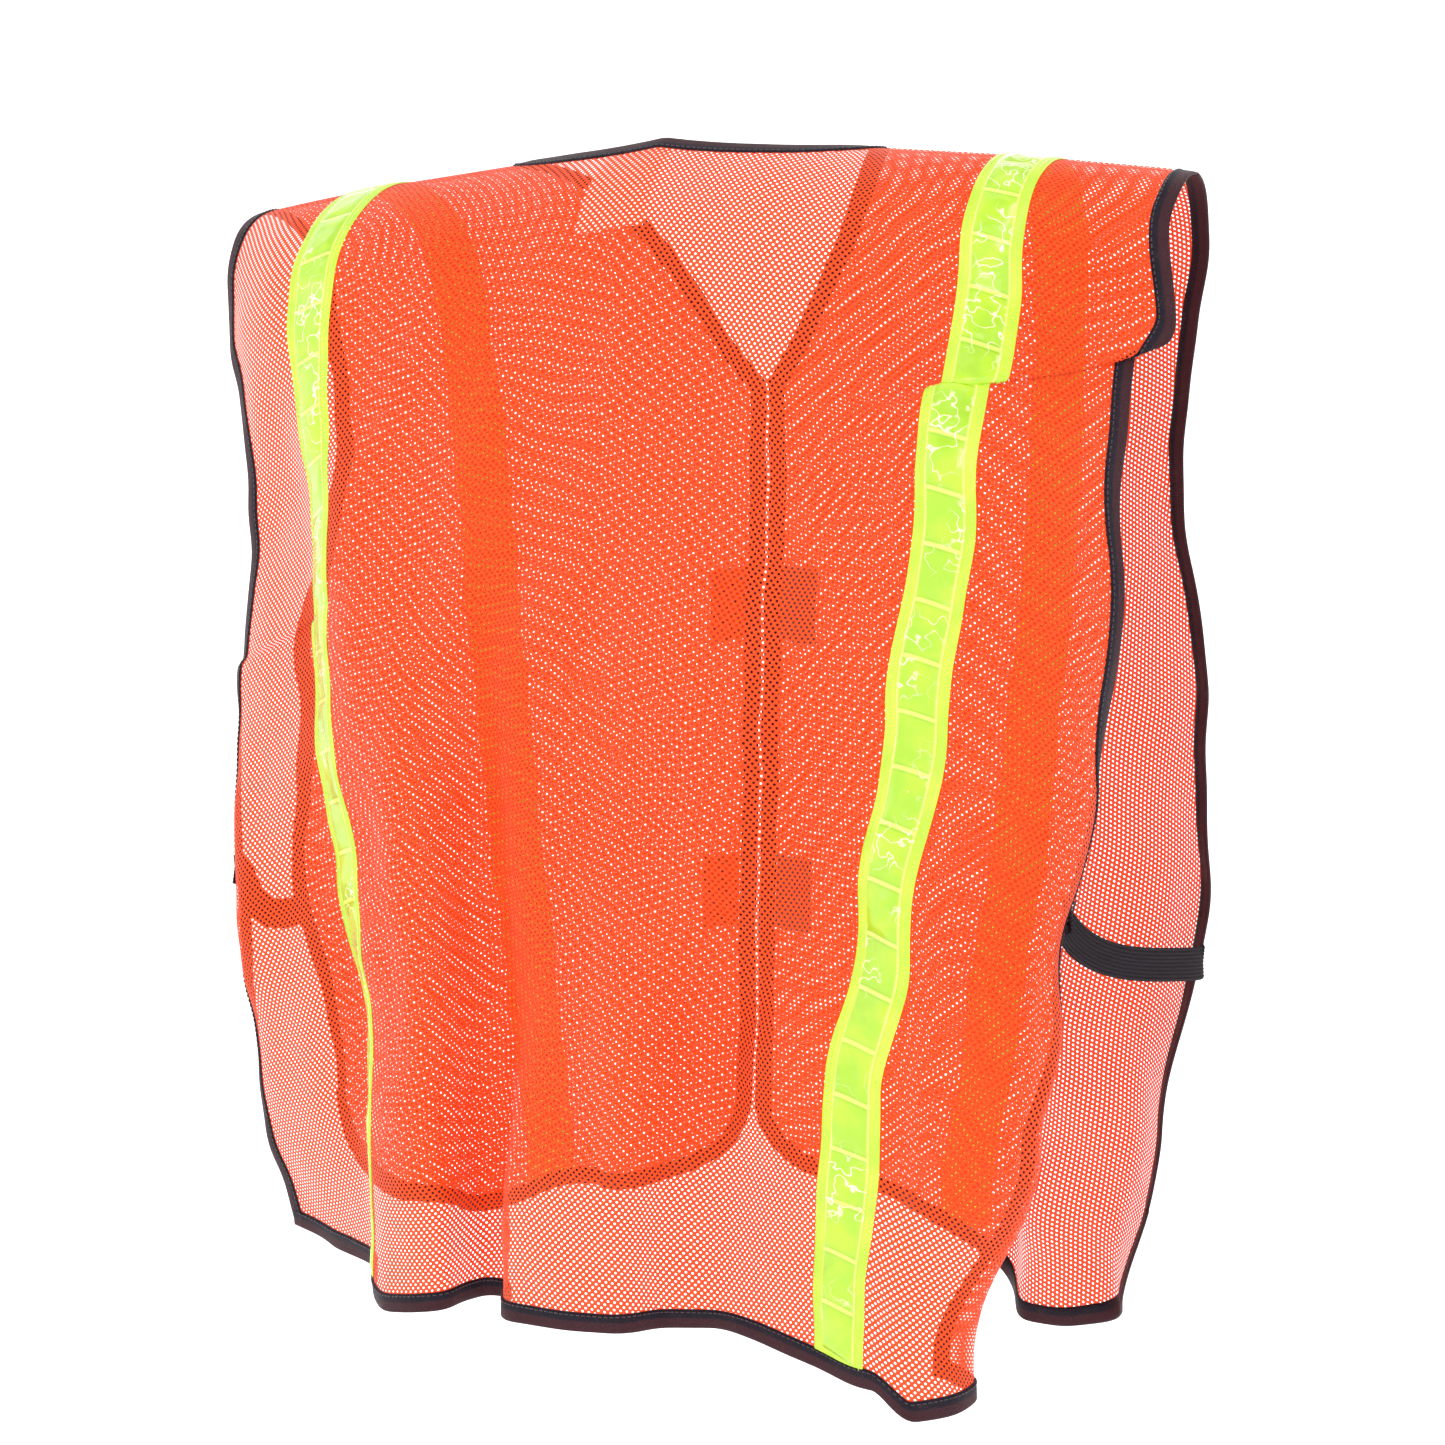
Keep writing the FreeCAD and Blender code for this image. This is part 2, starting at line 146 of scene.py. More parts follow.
@dataclass(frozen=True)
class Drape:
    """Where every point of a flat panel hangs in space."""

    face: Face
    rows: tuple[Row, ...]
    tucks: tuple[Tuck, ...] = ()
    crumple: float = 0.0011
    seed: int = 3
    crest_places: Floats = (0.0, 0.06, 0.112, 0.205, 0.29, 0.36)
    crest: Floats = (0.022, 0.012, 0.003, -0.006, -0.017, -0.030)
    roll: Floats = (0.096, 0.096, 0.094, 0.084, 0.053, 0.040)
    reach: float = 0.39
    length: float = 0.80
    step: float = 0.0025
    table: dict = field(default_factory=dict, compare=False)

    def crest_at(self, across: np.ndarray) -> np.ndarray:
        """Height of the shoulder line."""
        return np.interp(np.abs(across), self.crest_places, self.crest)

    def roll_at(self, across: np.ndarray) -> np.ndarray:
        """Radius of the cloth's roll over the shoulder."""
        return np.interp(np.abs(across), self.crest_places, self.roll)

    def level(self, across: np.ndarray, height: np.ndarray) -> np.ndarray:
        """How far down the cloth a height lies."""
        return self.crest_at(across) + self.roll_at(across) * (math.pi / 2 - 1) - height

    def lay(self) -> None:
        """Work out the hanging cloth once, on an even grid over the flat panel."""
        across = np.arange(-self.reach, self.reach + self.step, self.step)
        down = np.arange(-0.004, self.length, self.step)
        wide, tall = np.meshgrid(across, down)
        heading, middle, out = self._headings(across, down)
        turned = np.radians((heading[:, 1:] + heading[:, :-1]) / 2)
        zero = int(round(self.reach / self.step))
        across_run = np.cumsum(np.cos(turned) * self.step, axis=1)
        out_run = np.cumsum(-np.sin(turned) * self.step, axis=1)
        lead = np.zeros((len(down), 1))
        across_run, out_run = np.hstack([lead, across_run]), np.hstack([lead, out_run])
        x = across_run - across_run[:, zero:zero + 1] + middle[:, None]
        y = out_run - out_run[:, zero:zero + 1]
        radius = self.roll_at(wide)
        turn = np.clip(np.maximum(tall, 0.0) / radius, 0.0, math.pi / 2)
        straight = np.maximum(tall - radius * math.pi / 2, 0.0)
        z = self.crest_at(wide) - radius * (1.0 - np.cos(turn)) - straight
        shoulder = ease(np.maximum(tall, 0.0) / (0.55 * radius + 0.10))
        y = radius * np.sin(turn) + shoulder * (out[:, None] - radius + y)
        x, y, z = self._tucked(wide, tall, x, y, z)
        x, y, z = self._crumpled(wide, tall, x, y, z)
        points = np.stack([x, y * self.face.value, z], axis=2)
        over = np.gradient(points, axis=1)
        under = np.gradient(points, axis=0)
        normal = np.cross(over, under) * self.face.value
        normal /= np.linalg.norm(normal, axis=2, keepdims=True) + 1e-12
        self.table.update(points=points, normal=normal)

    def _headings(self, across: np.ndarray, down: np.ndarray) -> tuple[np.ndarray, ...]:
        """Heading of the cloth over the grid, and the middle line's place, blended between rows."""
        levels = [row.down for row in self.rows]
        heading = np.zeros((len(down), len(across)))
        read = [along(across, row.places, row.heading) for row in self.rows]
        for number, (low, high) in enumerate(zip(levels[:-1], levels[1:])):
            inside = (down >= low) & (down <= high) if number else down <= high
            share = ease((down[inside] - low) / (high - low))[:, None]
            heading[inside] = read[number] * (1 - share) + read[number + 1] * share
        heading[down > levels[-1]] = read[-1]
        held = np.minimum(down, levels[-1])
        middle, out = (along(held, levels, [row.anchor[axis] for row in self.rows]) for axis in (0, 1))
        return heading, middle, out

    def _tucked(self, wide: np.ndarray, tall: np.ndarray, *place: np.ndarray) -> list[np.ndarray]:
        """Lift, sink and shift the cloth below each crosswise fold."""
        x, y, z = place
        for tuck in self.tucks:
            share, below = tuck.share(wide, tall)
            z = z + tuck.taken * share
            y = y - 0.006 * share * np.exp(-below / 0.12)
            x = x + tuck.shift * share * np.exp(-below / 0.16)
        return [x, y, z]

    def _crumpled(self, wide: np.ndarray, tall: np.ndarray, *place: np.ndarray) -> list[np.ndarray]:
        """Add the small soft waves of a limp cloth, growing away from the shoulder."""
        x, y, z = place
        chance = np.random.default_rng(self.seed)
        strength = self.crumple * ease(tall / 0.12)
        for _ in range(14):
            size = chance.uniform(0.03, 0.11)
            angle = chance.normal(0.0, 0.75)
            phase = chance.uniform(0, 2 * math.pi)
            wave = np.sin(2 * math.pi * (wide * math.cos(angle) + tall * math.sin(angle)) / size + phase)
            y = y + strength * wave * size / 0.11
        return [x, y, z]

    def at(self, across: np.ndarray, down: np.ndarray, lift: np.ndarray = 0.0) -> np.ndarray:
        """Points of the cloth.

        Args:
            across: distance over the flat panel from its middle line.
            down: distance from the shoulder crest.
            lift: height above the panel's outer face.
        Returns:
            An array of points, one for each place.
        """
        across, down, lift = np.broadcast_arrays(np.asarray(across, float), down, lift)
        rows, columns = self.table["points"].shape[:2]
        column = np.clip((across + self.reach) / self.step, 0, columns - 1.001)
        row = np.clip((down + 0.004) / self.step, 0, rows - 1.001)
        left, top = column.astype(int), row.astype(int)
        right_share, low_share = (column - left)[..., None], (row - top)[..., None]

        def read(grid: np.ndarray) -> np.ndarray:
            upper = grid[top, left] * (1 - right_share) + grid[top, left + 1] * right_share
            lower = grid[top + 1, left] * (1 - right_share) + grid[top + 1, left + 1] * right_share
            return upper * (1 - low_share) + lower * low_share

        return read(self.table["points"]) + read(self.table["normal"]) * lift[..., None]


SHOULDER_ROW = Row(-0.01, (0.0, 0.096), (-0.36, 0.20, 0.30, 0.36), (0.0, 0.0, 30.0, 40.0))
BACK_DRAPE = Drape(Face.BACK, (
    SHOULDER_ROW,
    Row(0.11, (0.004, 0.102), (-0.36, -0.30, -0.20, 0.0, 0.15, 0.213, 0.26, 0.30, 0.36),
        (-34.0, -26.0, -16.0, -4.0, 0.0, 10.0, 29.0, 46.0, 64.0)),
    Row(0.25, (0.008, 0.126), (-0.36, -0.30, -0.25, -0.21, -0.12, 0.0, 0.10, 0.16, 0.213, 0.26, 0.30,
                               0.36),
        (-80.0, -56.0, -26.0, 2.0, 3.0, 0.0, 4.0, 8.0, 46.0, 34.0, 32.0, 52.0)),
    Row(0.38, (0.028, 0.130),
        (-0.36, -0.34, -0.315, -0.29, -0.25, -0.213, -0.12, -0.06, 0.0, 0.05, 0.10, 0.15, 0.213,
         0.26, 0.30, 0.335, 0.36),
        (-180.0, -130.0, -66.0, -38.0, -26.0, 4.0, -8.0, 6.0, -4.0, 26.0, -20.0, 27.0, 50.0,
         22.0, 20.0, 64.0, 121.0)),
    Row(0.48, (0.036, 0.130),
        (-0.36, -0.33, -0.29, -0.25, -0.213, -0.16, -0.11, -0.06, 0.0, 0.05, 0.10, 0.15, 0.213,
         0.26, 0.30, 0.335, 0.36),
        (-145.0, -100.0, -16.0, -52.0, 10.0, 26.0, -24.0, 12.0, -12.0, 58.0, -56.0, 39.0, 46.0,
         4.0, 8.0, 74.0, 126.0)),
    Row(0.585, (0.045, 0.132),
        (-0.36, -0.335, -0.315, -0.29, -0.25, -0.213, -0.14, -0.085, -0.03, 0.045, 0.103, 0.15,
         0.213, 0.25, 0.30, 0.36),
        (-180.0, -130.0, -50.0, -28.0, -12.0, 4.0, 30.0, -50.0, 10.0, 62.0, -62.0, 36.0,
         58.0, 16.0, 12.0, 66.0)),
    Row(0.715, (0.059, 0.131),
        (-0.36, -0.33, -0.30, -0.27, -0.24, -0.213, -0.175, -0.14, -0.105, -0.08, -0.05, -0.02,
         0.0, 0.03, 0.06, 0.08, 0.096, 0.117, 0.137, 0.16, 0.185, 0.21, 0.235, 0.27, 0.36),
        (-180.0, -150.0, -76.0, -38.0, 14.0, 18.0, 8.0, 24.0, -20.0, -62.0, -18.0, 8.0,
         14.0, 62.0, 76.0, 20.0, -72.0, -78.0, 5.0, 20.0, 45.0, 70.0, 56.0, 34.0, 30.0)),
), tucks=(
    Tuck(-0.11, -0.22, 0.198, 1.8, 0.012, 0.010),
    Tuck(0.165, 0.225, 0.31, 0.0, 0.007, 0.006),
))
FRONT_DRAPE = Drape(Face.FRONT, (
    SHOULDER_ROW,
    Row(0.11, (0.0, 0.098), (-0.36, -0.30, -0.20, 0.0, 0.20, 0.30, 0.36),
        (-20.0, -20.0, -8.0, 0.0, 8.0, 20.0, 26.0)),
    Row(0.25, (0.0, 0.116), (-0.36, -0.30, -0.24, -0.16, -0.08, 0.0, 0.08, 0.20, 0.30, 0.36),
        (-30.0, -36.0, -30.0, 10.0, -14.0, 0.0, 3.0, 14.0, 36.0, 50.0)),
    Row(0.42, (0.006, 0.120),
        (-0.36, -0.32, -0.27, -0.22, -0.17, -0.12, -0.06, 0.0, 0.06, 0.12, 0.18, 0.24, 0.30, 0.36),
        (-50.0, -46.0, -8.0, -46.0, 20.0, -24.0, 12.0, 0.0, 18.0, -24.0, 32.0, -12.0, 48.0, 66.0)),
    Row(0.585, (0.010, 0.122),
        (-0.36, -0.32, -0.27, -0.22, -0.17, -0.12, -0.06, 0.0, 0.06, 0.12, 0.18, 0.24, 0.30, 0.36),
        (-74.0, -58.0, 16.0, -66.0, 42.0, -44.0, 24.0, 0.0, 30.0, -42.0, 52.0, -30.0, 74.0, 96.0)),
    Row(0.70, (0.012, 0.122),
        (-0.36, -0.32, -0.27, -0.22, -0.17, -0.12, -0.06, 0.0, 0.06, 0.12, 0.18, 0.24, 0.30, 0.36),
        (-80.0, -70.0, 16.0, -70.0, 48.0, -56.0, 34.0, 0.0, 36.0, -52.0, 58.0, -38.0, 80.0, 100.0)),
), seed=8)


# ---- flat patterns
@dataclass(frozen=True)
class Cut:
    """The flat pattern that both kinds of panel share, and what differs between them."""

    drape: Drape
    neck_half: float = 0.112
    side_places: Floats = (0.0, 0.06, 0.17, 0.33, 0.45, 0.80)
    side_halves: Floats = (0.307, 0.303, 0.294, 0.328, 0.348, 0.353)
    binding: float = 0.0105
    stitch_inset: float = 0.0019

    def side(self, down: np.ndarray) -> np.ndarray:
        """Half the panel's width: the armhole's hollow and the straight side below it."""
        return along(down, self.side_places, self.side_halves)


@dataclass(frozen=True)
class BackCut(Cut):
    """Outline of the back panel."""

    neck_drop: float = 0.052
    side_places: Floats = (0.0, 0.05, 0.11, 0.15, 0.33, 0.45, 0.80)
    side_halves: Floats = (0.307, 0.309, 0.318, 0.305, 0.328, 0.348, 0.353)
    hem_places: Floats = (-0.36, -0.262, -0.235, -0.12, 0.0, 0.10, 0.20, 0.30, 0.36)
    hem_heights: Floats = (-0.730, -0.738, -0.722, -0.694, -0.692, -0.696, -0.707, -0.703,
                                      -0.697)

    def top(self, across: np.ndarray) -> np.ndarray:
        """Where the panel begins: the neck curve, then the shoulder seam."""
        share = np.clip(1.0 - (across / self.neck_half) ** 2, 0.0, 1.0)
        return self.neck_drop * np.sqrt(share)

    def hem(self, across: np.ndarray) -> np.ndarray:
        """Where the panel ends."""
        return self.drape.level(across, along(across, self.hem_places, self.hem_heights))


@dataclass(frozen=True)
class FrontCut(Cut):
    """Outline of one front, seen on the wearer's left; the right one is its mirror."""

    vee: float = 0.205
    edge: float = 0.002
    corner: float = 0.095
    nose: float = 0.045
    droop: float = 0.0
    hem_places: Floats = (0.0, 0.12, 0.25, 0.36)
    hem_heights: Floats = (-0.646, -0.668, -0.690, -0.696)

    def inner(self, down: np.ndarray) -> np.ndarray:
        """The front's own edge: the neck's vee, then straight down beside the other front."""
        share = np.clip(down / self.vee, 0.0, 1.0)
        return self.edge + (self.neck_half - self.edge) * (1.0 - share) ** 0.9

    def hem(self, across: np.ndarray) -> np.ndarray:
        """Where the panel ends, rounded at the side and at the middle."""
        level = self.drape.level(across, along(across, self.hem_places, self.hem_heights))
        level = level + self.droop * ease((across - 0.13) / 0.11)
        half = self.side_halves[-1]
        beyond = np.clip((across - (half - self.corner)) / self.corner, 0.0, 1.0)
        before = np.clip((self.edge + self.nose - across) / self.nose, 0.0, 1.0)
        level = level - self.corner * (1.0 - np.sqrt(1.0 - beyond ** 2))
        return level - self.nose * (1.0 - np.sqrt(1.0 - before ** 2))


BACK = BackCut(BACK_DRAPE)
LEFT_FRONT = FrontCut(FRONT_DRAPE)
RIGHT_FRONT = FrontCut(FRONT_DRAPE, droop=0.036)


def front_of(side: Side) -> FrontCut:
    """The front panel's outline on one side."""
    return LEFT_FRONT if side is Side.LEFT else RIGHT_FRONT


# ---- mesh making
def fresh() -> None:
    """Leave edit mode and deselect everything."""
    if bpy.context.object is not None and bpy.context.object.mode != "OBJECT":
        bpy.ops.object.mode_set(mode="OBJECT")
    bpy.ops.object.select_all(action="DESELECT")


def pick(piece: Piece) -> None:
    """Select one piece alone and make it the active one."""
    fresh()
    bpy.context.view_layer.objects.active = piece
    piece.select_set(True)


def flat_path(across: object, down: object) -> np.ndarray:
    """Points on the flat cloth, from their distances across and down; either may be one number."""
    return np.stack(np.broadcast_arrays(across, down), axis=1)


def left_of(path: np.ndarray) -> np.ndarray:
    """The direction to a flat path's left, at each of its points."""
    way = np.gradient(path, axis=0)
    way /= np.linalg.norm(way, axis=1, keepdims=True)
    return np.stack([-way[:, 1], way[:, 0]], axis=1)


def run_of(path: np.ndarray) -> np.ndarray:
    """The distance along a path, at each of its points."""
    return np.concatenate([[0.0], np.cumsum(np.linalg.norm(np.diff(path, axis=0), axis=1))])


def cloth_grid(name: str, places: np.ndarray, chart: np.ndarray) -> Piece:
    """Lay a grid primitive over an array of points.

    Args:
        name: the piece's name.
        places: points, rows by columns by three, in metres.
        chart: the same points on the flat cloth, in metres, kept as the UV map.
    Returns:
        The new piece.
    """
    rows, columns = places.shape[:2]
    fresh()
    bpy.ops.mesh.primitive_grid_add(x_subdivisions=columns - 1, y_subdivisions=rows - 1, size=2.0)
    piece = bpy.context.object
    piece.name = name
    mesh = piece.data
    mesh.name = name
    start = np.empty(len(mesh.vertices) * 3)
    mesh.vertices.foreach_get("co", start)
    start = start.reshape(-1, 3)
    column = np.rint((start[:, 0] + 1.0) / 2.0 * (columns - 1)).astype(int)
    row = np.rint((1.0 - start[:, 1]) / 2.0 * (rows - 1)).astype(int)
    mesh.vertices.foreach_set("co", places[row, column].ravel())
    corner = np.empty(len(mesh.loops), int)
    mesh.loops.foreach_get("vertex_index", corner)
    layer = mesh.uv_layers.active or mesh.uv_layers.new(name="flat")
    layer.name = "flat"
    layer.data.foreach_set("uv", chart[row, column][corner].ravel())
    mesh.update()
    bpy.ops.object.shade_smooth()
    return piece


def face_outwards(piece: Piece, wanted: np.ndarray) -> None:
    """Turn an open sheet over if its faces look the wrong way.

    Args:
        piece: the sheet.
        wanted: the direction that its first faces should have.
    """
    mesh = piece.data
    total = np.zeros(3)
    for polygon in mesh.polygons:
        total += np.array(polygon.normal) * polygon.area
    if float(total @ wanted) < 0:
        pick(piece)
        bpy.ops.object.mode_set(mode="EDIT")
        bpy.ops.mesh.select_all(action="SELECT")
        bpy.ops.mesh.flip_normals()
        bpy.ops.object.mode_set(mode="OBJECT")


def close_tube(piece: Piece) -> None:
    """Join a strip's two long edges, cap its ends and face it outwards."""
    pick(piece)
    bpy.ops.object.mode_set(mode="EDIT")
    bpy.ops.mesh.select_all(action="SELECT")
    bpy.ops.mesh.remove_doubles(threshold=1e-6)
    bpy.ops.mesh.select_all(action="DESELECT")
    bpy.ops.mesh.select_mode(type="EDGE")
    bpy.ops.mesh.select_non_manifold(extend=False)
    bpy.ops.mesh.fill_holes(sides=0)
    bpy.ops.mesh.select_all(action="SELECT")
    bpy.ops.mesh.normals_make_consistent(inside=False)
    bpy.ops.mesh.select_mode(type="VERT")
    bpy.ops.object.mode_set(mode="OBJECT")


def strip(name: str, drape: Drape, path: np.ndarray, section: np.ndarray,
          swell: Callable[[np.ndarray, np.ndarray], np.ndarray] | None = None) -> Piece:
    """A narrow textile that follows a path over the cloth, as a closed band.

    Args:
        name: the piece's name.
        drape: the cloth it is sewn to.
        path: points on the flat cloth, across and down.
        section: the band's closed outline, each point a distance to the path's left and a lift.
        swell: more lift, from the distance along the band and to its left.
    Returns:
        The new piece.
    """
    left, run = left_of(path), run_of(path)
    around = np.concatenate([section, section[:1]])
    across = path[:, None, 0] + left[:, None, 0] * around[None, :, 0]
    down = path[:, None, 1] + left[:, None, 1] * around[None, :, 0]
    lift = np.broadcast_to(around[None, :, 1], across.shape).copy()
    if swell is not None:
        top = around[None, :, 1] >= around[:, 1].max() - 1e-6
        lift += np.where(top, swell(run[:, None], around[None, :, 0]), 0.0)
    chart = np.stack(np.broadcast_arrays(run[:, None], around[None, :, 0]), axis=2)
    piece = cloth_grid(name, drape.at(across, down, lift), chart)
    close_tube(piece)
    return piece


def band_section(low: float, high: float, bottom: float, top: float, cells: int) -> np.ndarray:
    """A flat band's outline from one edge to the other, with softened corners."""
    soft = (top - bottom) * 0.3
    over = np.linspace(high - soft, low + soft, cells + 1)
    upper, lower = flat_path(over, top), flat_path(over[::-1], bottom)
    middle = (top + bottom) / 2
    return np.concatenate([upper, [[low, middle]], lower, [[high, middle]]])


def fold_section(width: float, half: float) -> np.ndarray:
    """A binding's outline: flat against both faces, and a round fold over the cloth's edge."""
    turn = np.radians(np.array([60.0, 20.0, -20.0, -60.0]))
    fold = flat_path(-half * 1.1 * np.cos(turn), half * np.sin(turn))
    faces = np.array([0.0008, 0.0030, 0.0055, 0.0080, width - 0.0004])
    upper, lower = flat_path(faces[::-1], half), flat_path(faces, -half)
    upper[0, 1] = half * 0.45
    lower[-1, 1] = -half * 0.45
    return np.concatenate([upper, fold, lower])


def stitch_row(name: str, drape: Drape, path: np.ndarray, lift: float, pitch: float = 0.0034,
               size: float = 0.00032) -> Piece:
    """A row of lockstitches: one stitch modelled once, then copied along the path.

    Args:
        name: the piece's name.
        drape: the cloth it is sewn through.
        path: points on the flat cloth, across and down.
        lift: height of the stitches' middle above the cloth.
        pitch: distance between stitches.
        size: radius of the thread.
    Returns:
        The row, as one piece.
    """
    fresh()
    bpy.ops.mesh.primitive_cylinder_add(vertices=6, radius=size, depth=pitch * 0.62,
                                        end_fill_type="TRIFAN", rotation=(0.0, math.pi / 2, 0.0))
    bpy.ops.object.transform_apply(location=False, rotation=True, scale=False)
    stitch = bpy.context.object
    stitch.name = name
    mesh = stitch.data
    for vertex in mesh.vertices:
        if math.hypot(vertex.co.y, vertex.co.z) < size * 0.1:
            vertex.co.x *= 1.12
    corners = np.array([vertex.co for vertex in mesh.vertices])
    faces = [list(polygon.vertices) for polygon in mesh.polygons]
    run = run_of(path)
    places = np.arange(pitch / 2, run[-1], pitch)

    def point(distance: np.ndarray, height: float) -> np.ndarray:
        across = np.interp(distance, run, path[:, 0])
        down = np.interp(distance, run, path[:, 1])
        return drape.at(across, down, height)

    here = point(places, lift)
    ahead = point(places + pitch * 0.3, lift) - point(places - pitch * 0.3, lift)
    ahead /= np.linalg.norm(ahead, axis=1, keepdims=True)
    outward = point(places, lift + 0.001) - here
    sideways = np.cross(outward, ahead)
    sideways /= np.linalg.norm(sideways, axis=1, keepdims=True)
    outward = np.cross(ahead, sideways)
    axes = np.stack([ahead, sideways, outward], axis=1)
    copies = here[:, None, :] + np.einsum("vk,nkj->nvj", corners, axes)
    mesh.clear_geometry()
    count = len(corners)
    everything = [[index + number * count for index in face]
                  for number in range(len(places)) for face in faces]
    mesh.from_pydata(copies.reshape(-1, 3).tolist(), [], everything)
    mesh.update()
    pick(stitch)
    bpy.ops.object.shade_smooth()
    return stitch


# ---- finishes
class Shader:
    """A material's node tree, written a line at a time."""

    def __init__(self, name: str) -> None:
        """Start an empty material with one Principled surface."""
        self.material = bpy.data.materials.new(name)
        self.material.use_nodes = True
        self.tree = self.material.node_tree
        self.surface = self.tree.nodes["Principled BSDF"]

    def node(self, kind: str, **settings: object) -> bpy.types.Node:
        """Add a node and set its plain properties."""
        added = self.tree.nodes.new(kind)
        for key, setting in settings.items():
            setattr(added, key, setting)
        return added

    def feed(self, socket: Socket, source: object) -> None:
        """Link an output to a socket, or write a value on it."""
        if isinstance(source, Socket):
            self.tree.links.new(source, socket)
        else:
            socket.default_value = source

    def sum(self, operation: str, first: object, second: object = 0.0,
            third: object = 0.0) -> Socket:
        """One Math node."""
        added = self.node("ShaderNodeMath", operation=operation)
        for socket, source in zip(added.inputs, (first, second, third)):
            self.feed(socket, source)
        return added.outputs[0]

    def plus(self, first: object, second: object) -> Socket:
        """The sum of two values."""
        return self.sum("ADD", first, second)

    def minus(self, first: object, second: object) -> Socket:
        """The first value less the second."""
        return self.sum("SUBTRACT", first, second)

    def times(self, first: object, second: object) -> Socket:
        """The product of two values."""
        return self.sum("MULTIPLY", first, second)

    def wave(self, source: object, turn: float) -> Socket:
        """The sine of a distance times a number of radians a metre."""
        return self.sum("SINE", self.times(source, turn))

    def weave(self, first: object, second: object, turn: float) -> Socket:
        """Crossed sine waves along two distances."""
        return self.times(self.wave(first, turn), self.wave(second, turn))

    def ramp(self, value: object, low: float, high: float) -> Socket:
        """A smooth step of a value between two levels; low may lie above high."""
        added = self.node("ShaderNodeMapRange", interpolation_type="SMOOTHSTEP")
        for socket, source in zip(added.inputs, (value, low, high, 0.0, 1.0)):
            self.feed(socket, source)
        return added.outputs[0]

    def blend(self, share: object, first: object, second: object) -> Socket:
        """A mix of two colours."""
        added = self.node("ShaderNodeMix", data_type="RGBA")
        self.feed(added.inputs[0], share)
        self.feed(added.inputs[6], first)
        self.feed(added.inputs[7], second)
        return added.outputs[2]

    def chart(self) -> tuple[Socket, Socket]:
        """The flat cloth's two distances, in metres."""
        source = self.node("ShaderNodeUVMap", uv_map="flat")
        split = self.node("ShaderNodeSeparateXYZ")
        self.feed(split.inputs[0], source.outputs[0])
        return split.outputs[0], split.outputs[1]

    def noise(self, scale: float, detail: float = 3.0, place: object = None) -> Socket:
        """Cloudy noise over the piece, in object space unless a place is given."""
        added = self.node("ShaderNodeTexNoise")
        if place is None:
            place = self.node("ShaderNodeTexCoord").outputs["Object"]
        self.feed(added.inputs["Vector"], place)
        added.inputs["Scale"].default_value = scale
        added.inputs["Detail"].default_value = detail
        return added.outputs[0]

    def bump(self, height: object, distance: float, strength: float = 1.0) -> None:
        """Raise the surface by a height pattern."""
        added = self.node("ShaderNodeBump")
        added.inputs["Strength"].default_value = strength
        added.inputs["Distance"].default_value = distance
        self.feed(added.inputs["Height"], height)
        self.feed(self.surface.inputs["Normal"], added.outputs[0])

    def set(self, **levels: object) -> None:
        """Write levels on the surface's sockets; an underscore stands for a space."""
        for key, level in levels.items():
            self.feed(self.surface.inputs[key.replace("_", " ")], level)


Colour = tuple[float, float, float, float]


@dataclass(frozen=True)
class Finish:
    """A named material; each kind wires its own surface."""

    name: str

    def make(self) -> bpy.types.Material:
        """Build the material."""
        shader = Shader(self.name)
        self.wire(shader)
        return shader.material

    def wire(self, shader: Shader) -> None:
        """Wire the surface."""
        raise NotImplementedError


@dataclass(frozen=True)
class OpenMesh(Finish):
    """Knitted mesh: round holes in staggered rows, soft rounded yarns between them, with painted shade
    at the hole edges.
    """

    name: str = "orange_mesh"
    yarn: Colour = (0.86, 0.066, 0.003, 1.0)
    # The darker yarn colour below serves as the painted shade at the hole edges, and also as random slub
    # and cloud tone.
    deep: Colour = (0.62, 0.030, 0.001, 1.0)
    pitch: float = 0.0038
    row: float = 0.00215
    hole: float = 0.00078
    soft: float = 0.00020
    glow: float = 0.10

    def wire(self, shader: Shader) -> None:
        """Wire the surface."""
        over, down = shader.chart()
        rows = shader.sum("DIVIDE", down, self.row)
        odd = shader.sum("MODULO", shader.sum("FLOOR", shader.plus(rows, 4000.0)), 2.0)
        columns = shader.plus(shader.sum("DIVIDE", over, self.pitch), shader.times(odd, 0.5))
        far_over = shader.times(shader.minus(shader.sum("FRACT", columns), 0.5), self.pitch)
        far_down = shader.times(shader.minus(shader.sum("FRACT", rows), 0.5), self.row * 1.06)
        far = shader.sum("SQRT", shader.plus(shader.sum("POWER", far_over, 2.0),
                                             shader.sum("POWER", far_down, 2.0)))
        solid = shader.ramp(far, self.hole - self.soft, self.hole + self.soft)
        # Painted shade: the yarn is coloured darker where it dips into each hole and lighter on its
        # crown; the same ramp raises the crown in the bump.
        yarn_crown_and_shade = shader.ramp(far, self.hole, self.hole + 0.0009)
        slub = shader.noise(900.0, 2.0)
        cloud = shader.noise(9.0, 2.0)
        share = shader.plus(shader.times(yarn_crown_and_shade, 0.55), shader.times(slub, 0.35))
        share = shader.plus(share, shader.times(cloud, 0.22))
        tint = shader.blend(shader.sum("MINIMUM", share, 1.0), self.deep, self.yarn)
        shader.set(Base_Color=tint, Alpha=solid, Roughness=0.62, Sheen_Weight=0.06,
                   Sheen_Roughness=0.45, Emission_Color=(1.0, 0.085, 0.004, 1.0),
                   Emission_Strength=self.glow, Specular_IOR_Level=0.25)
        shader.bump(shader.plus(yarn_crown_and_shade, shader.times(slub, 0.5)), 0.00035, 0.8)


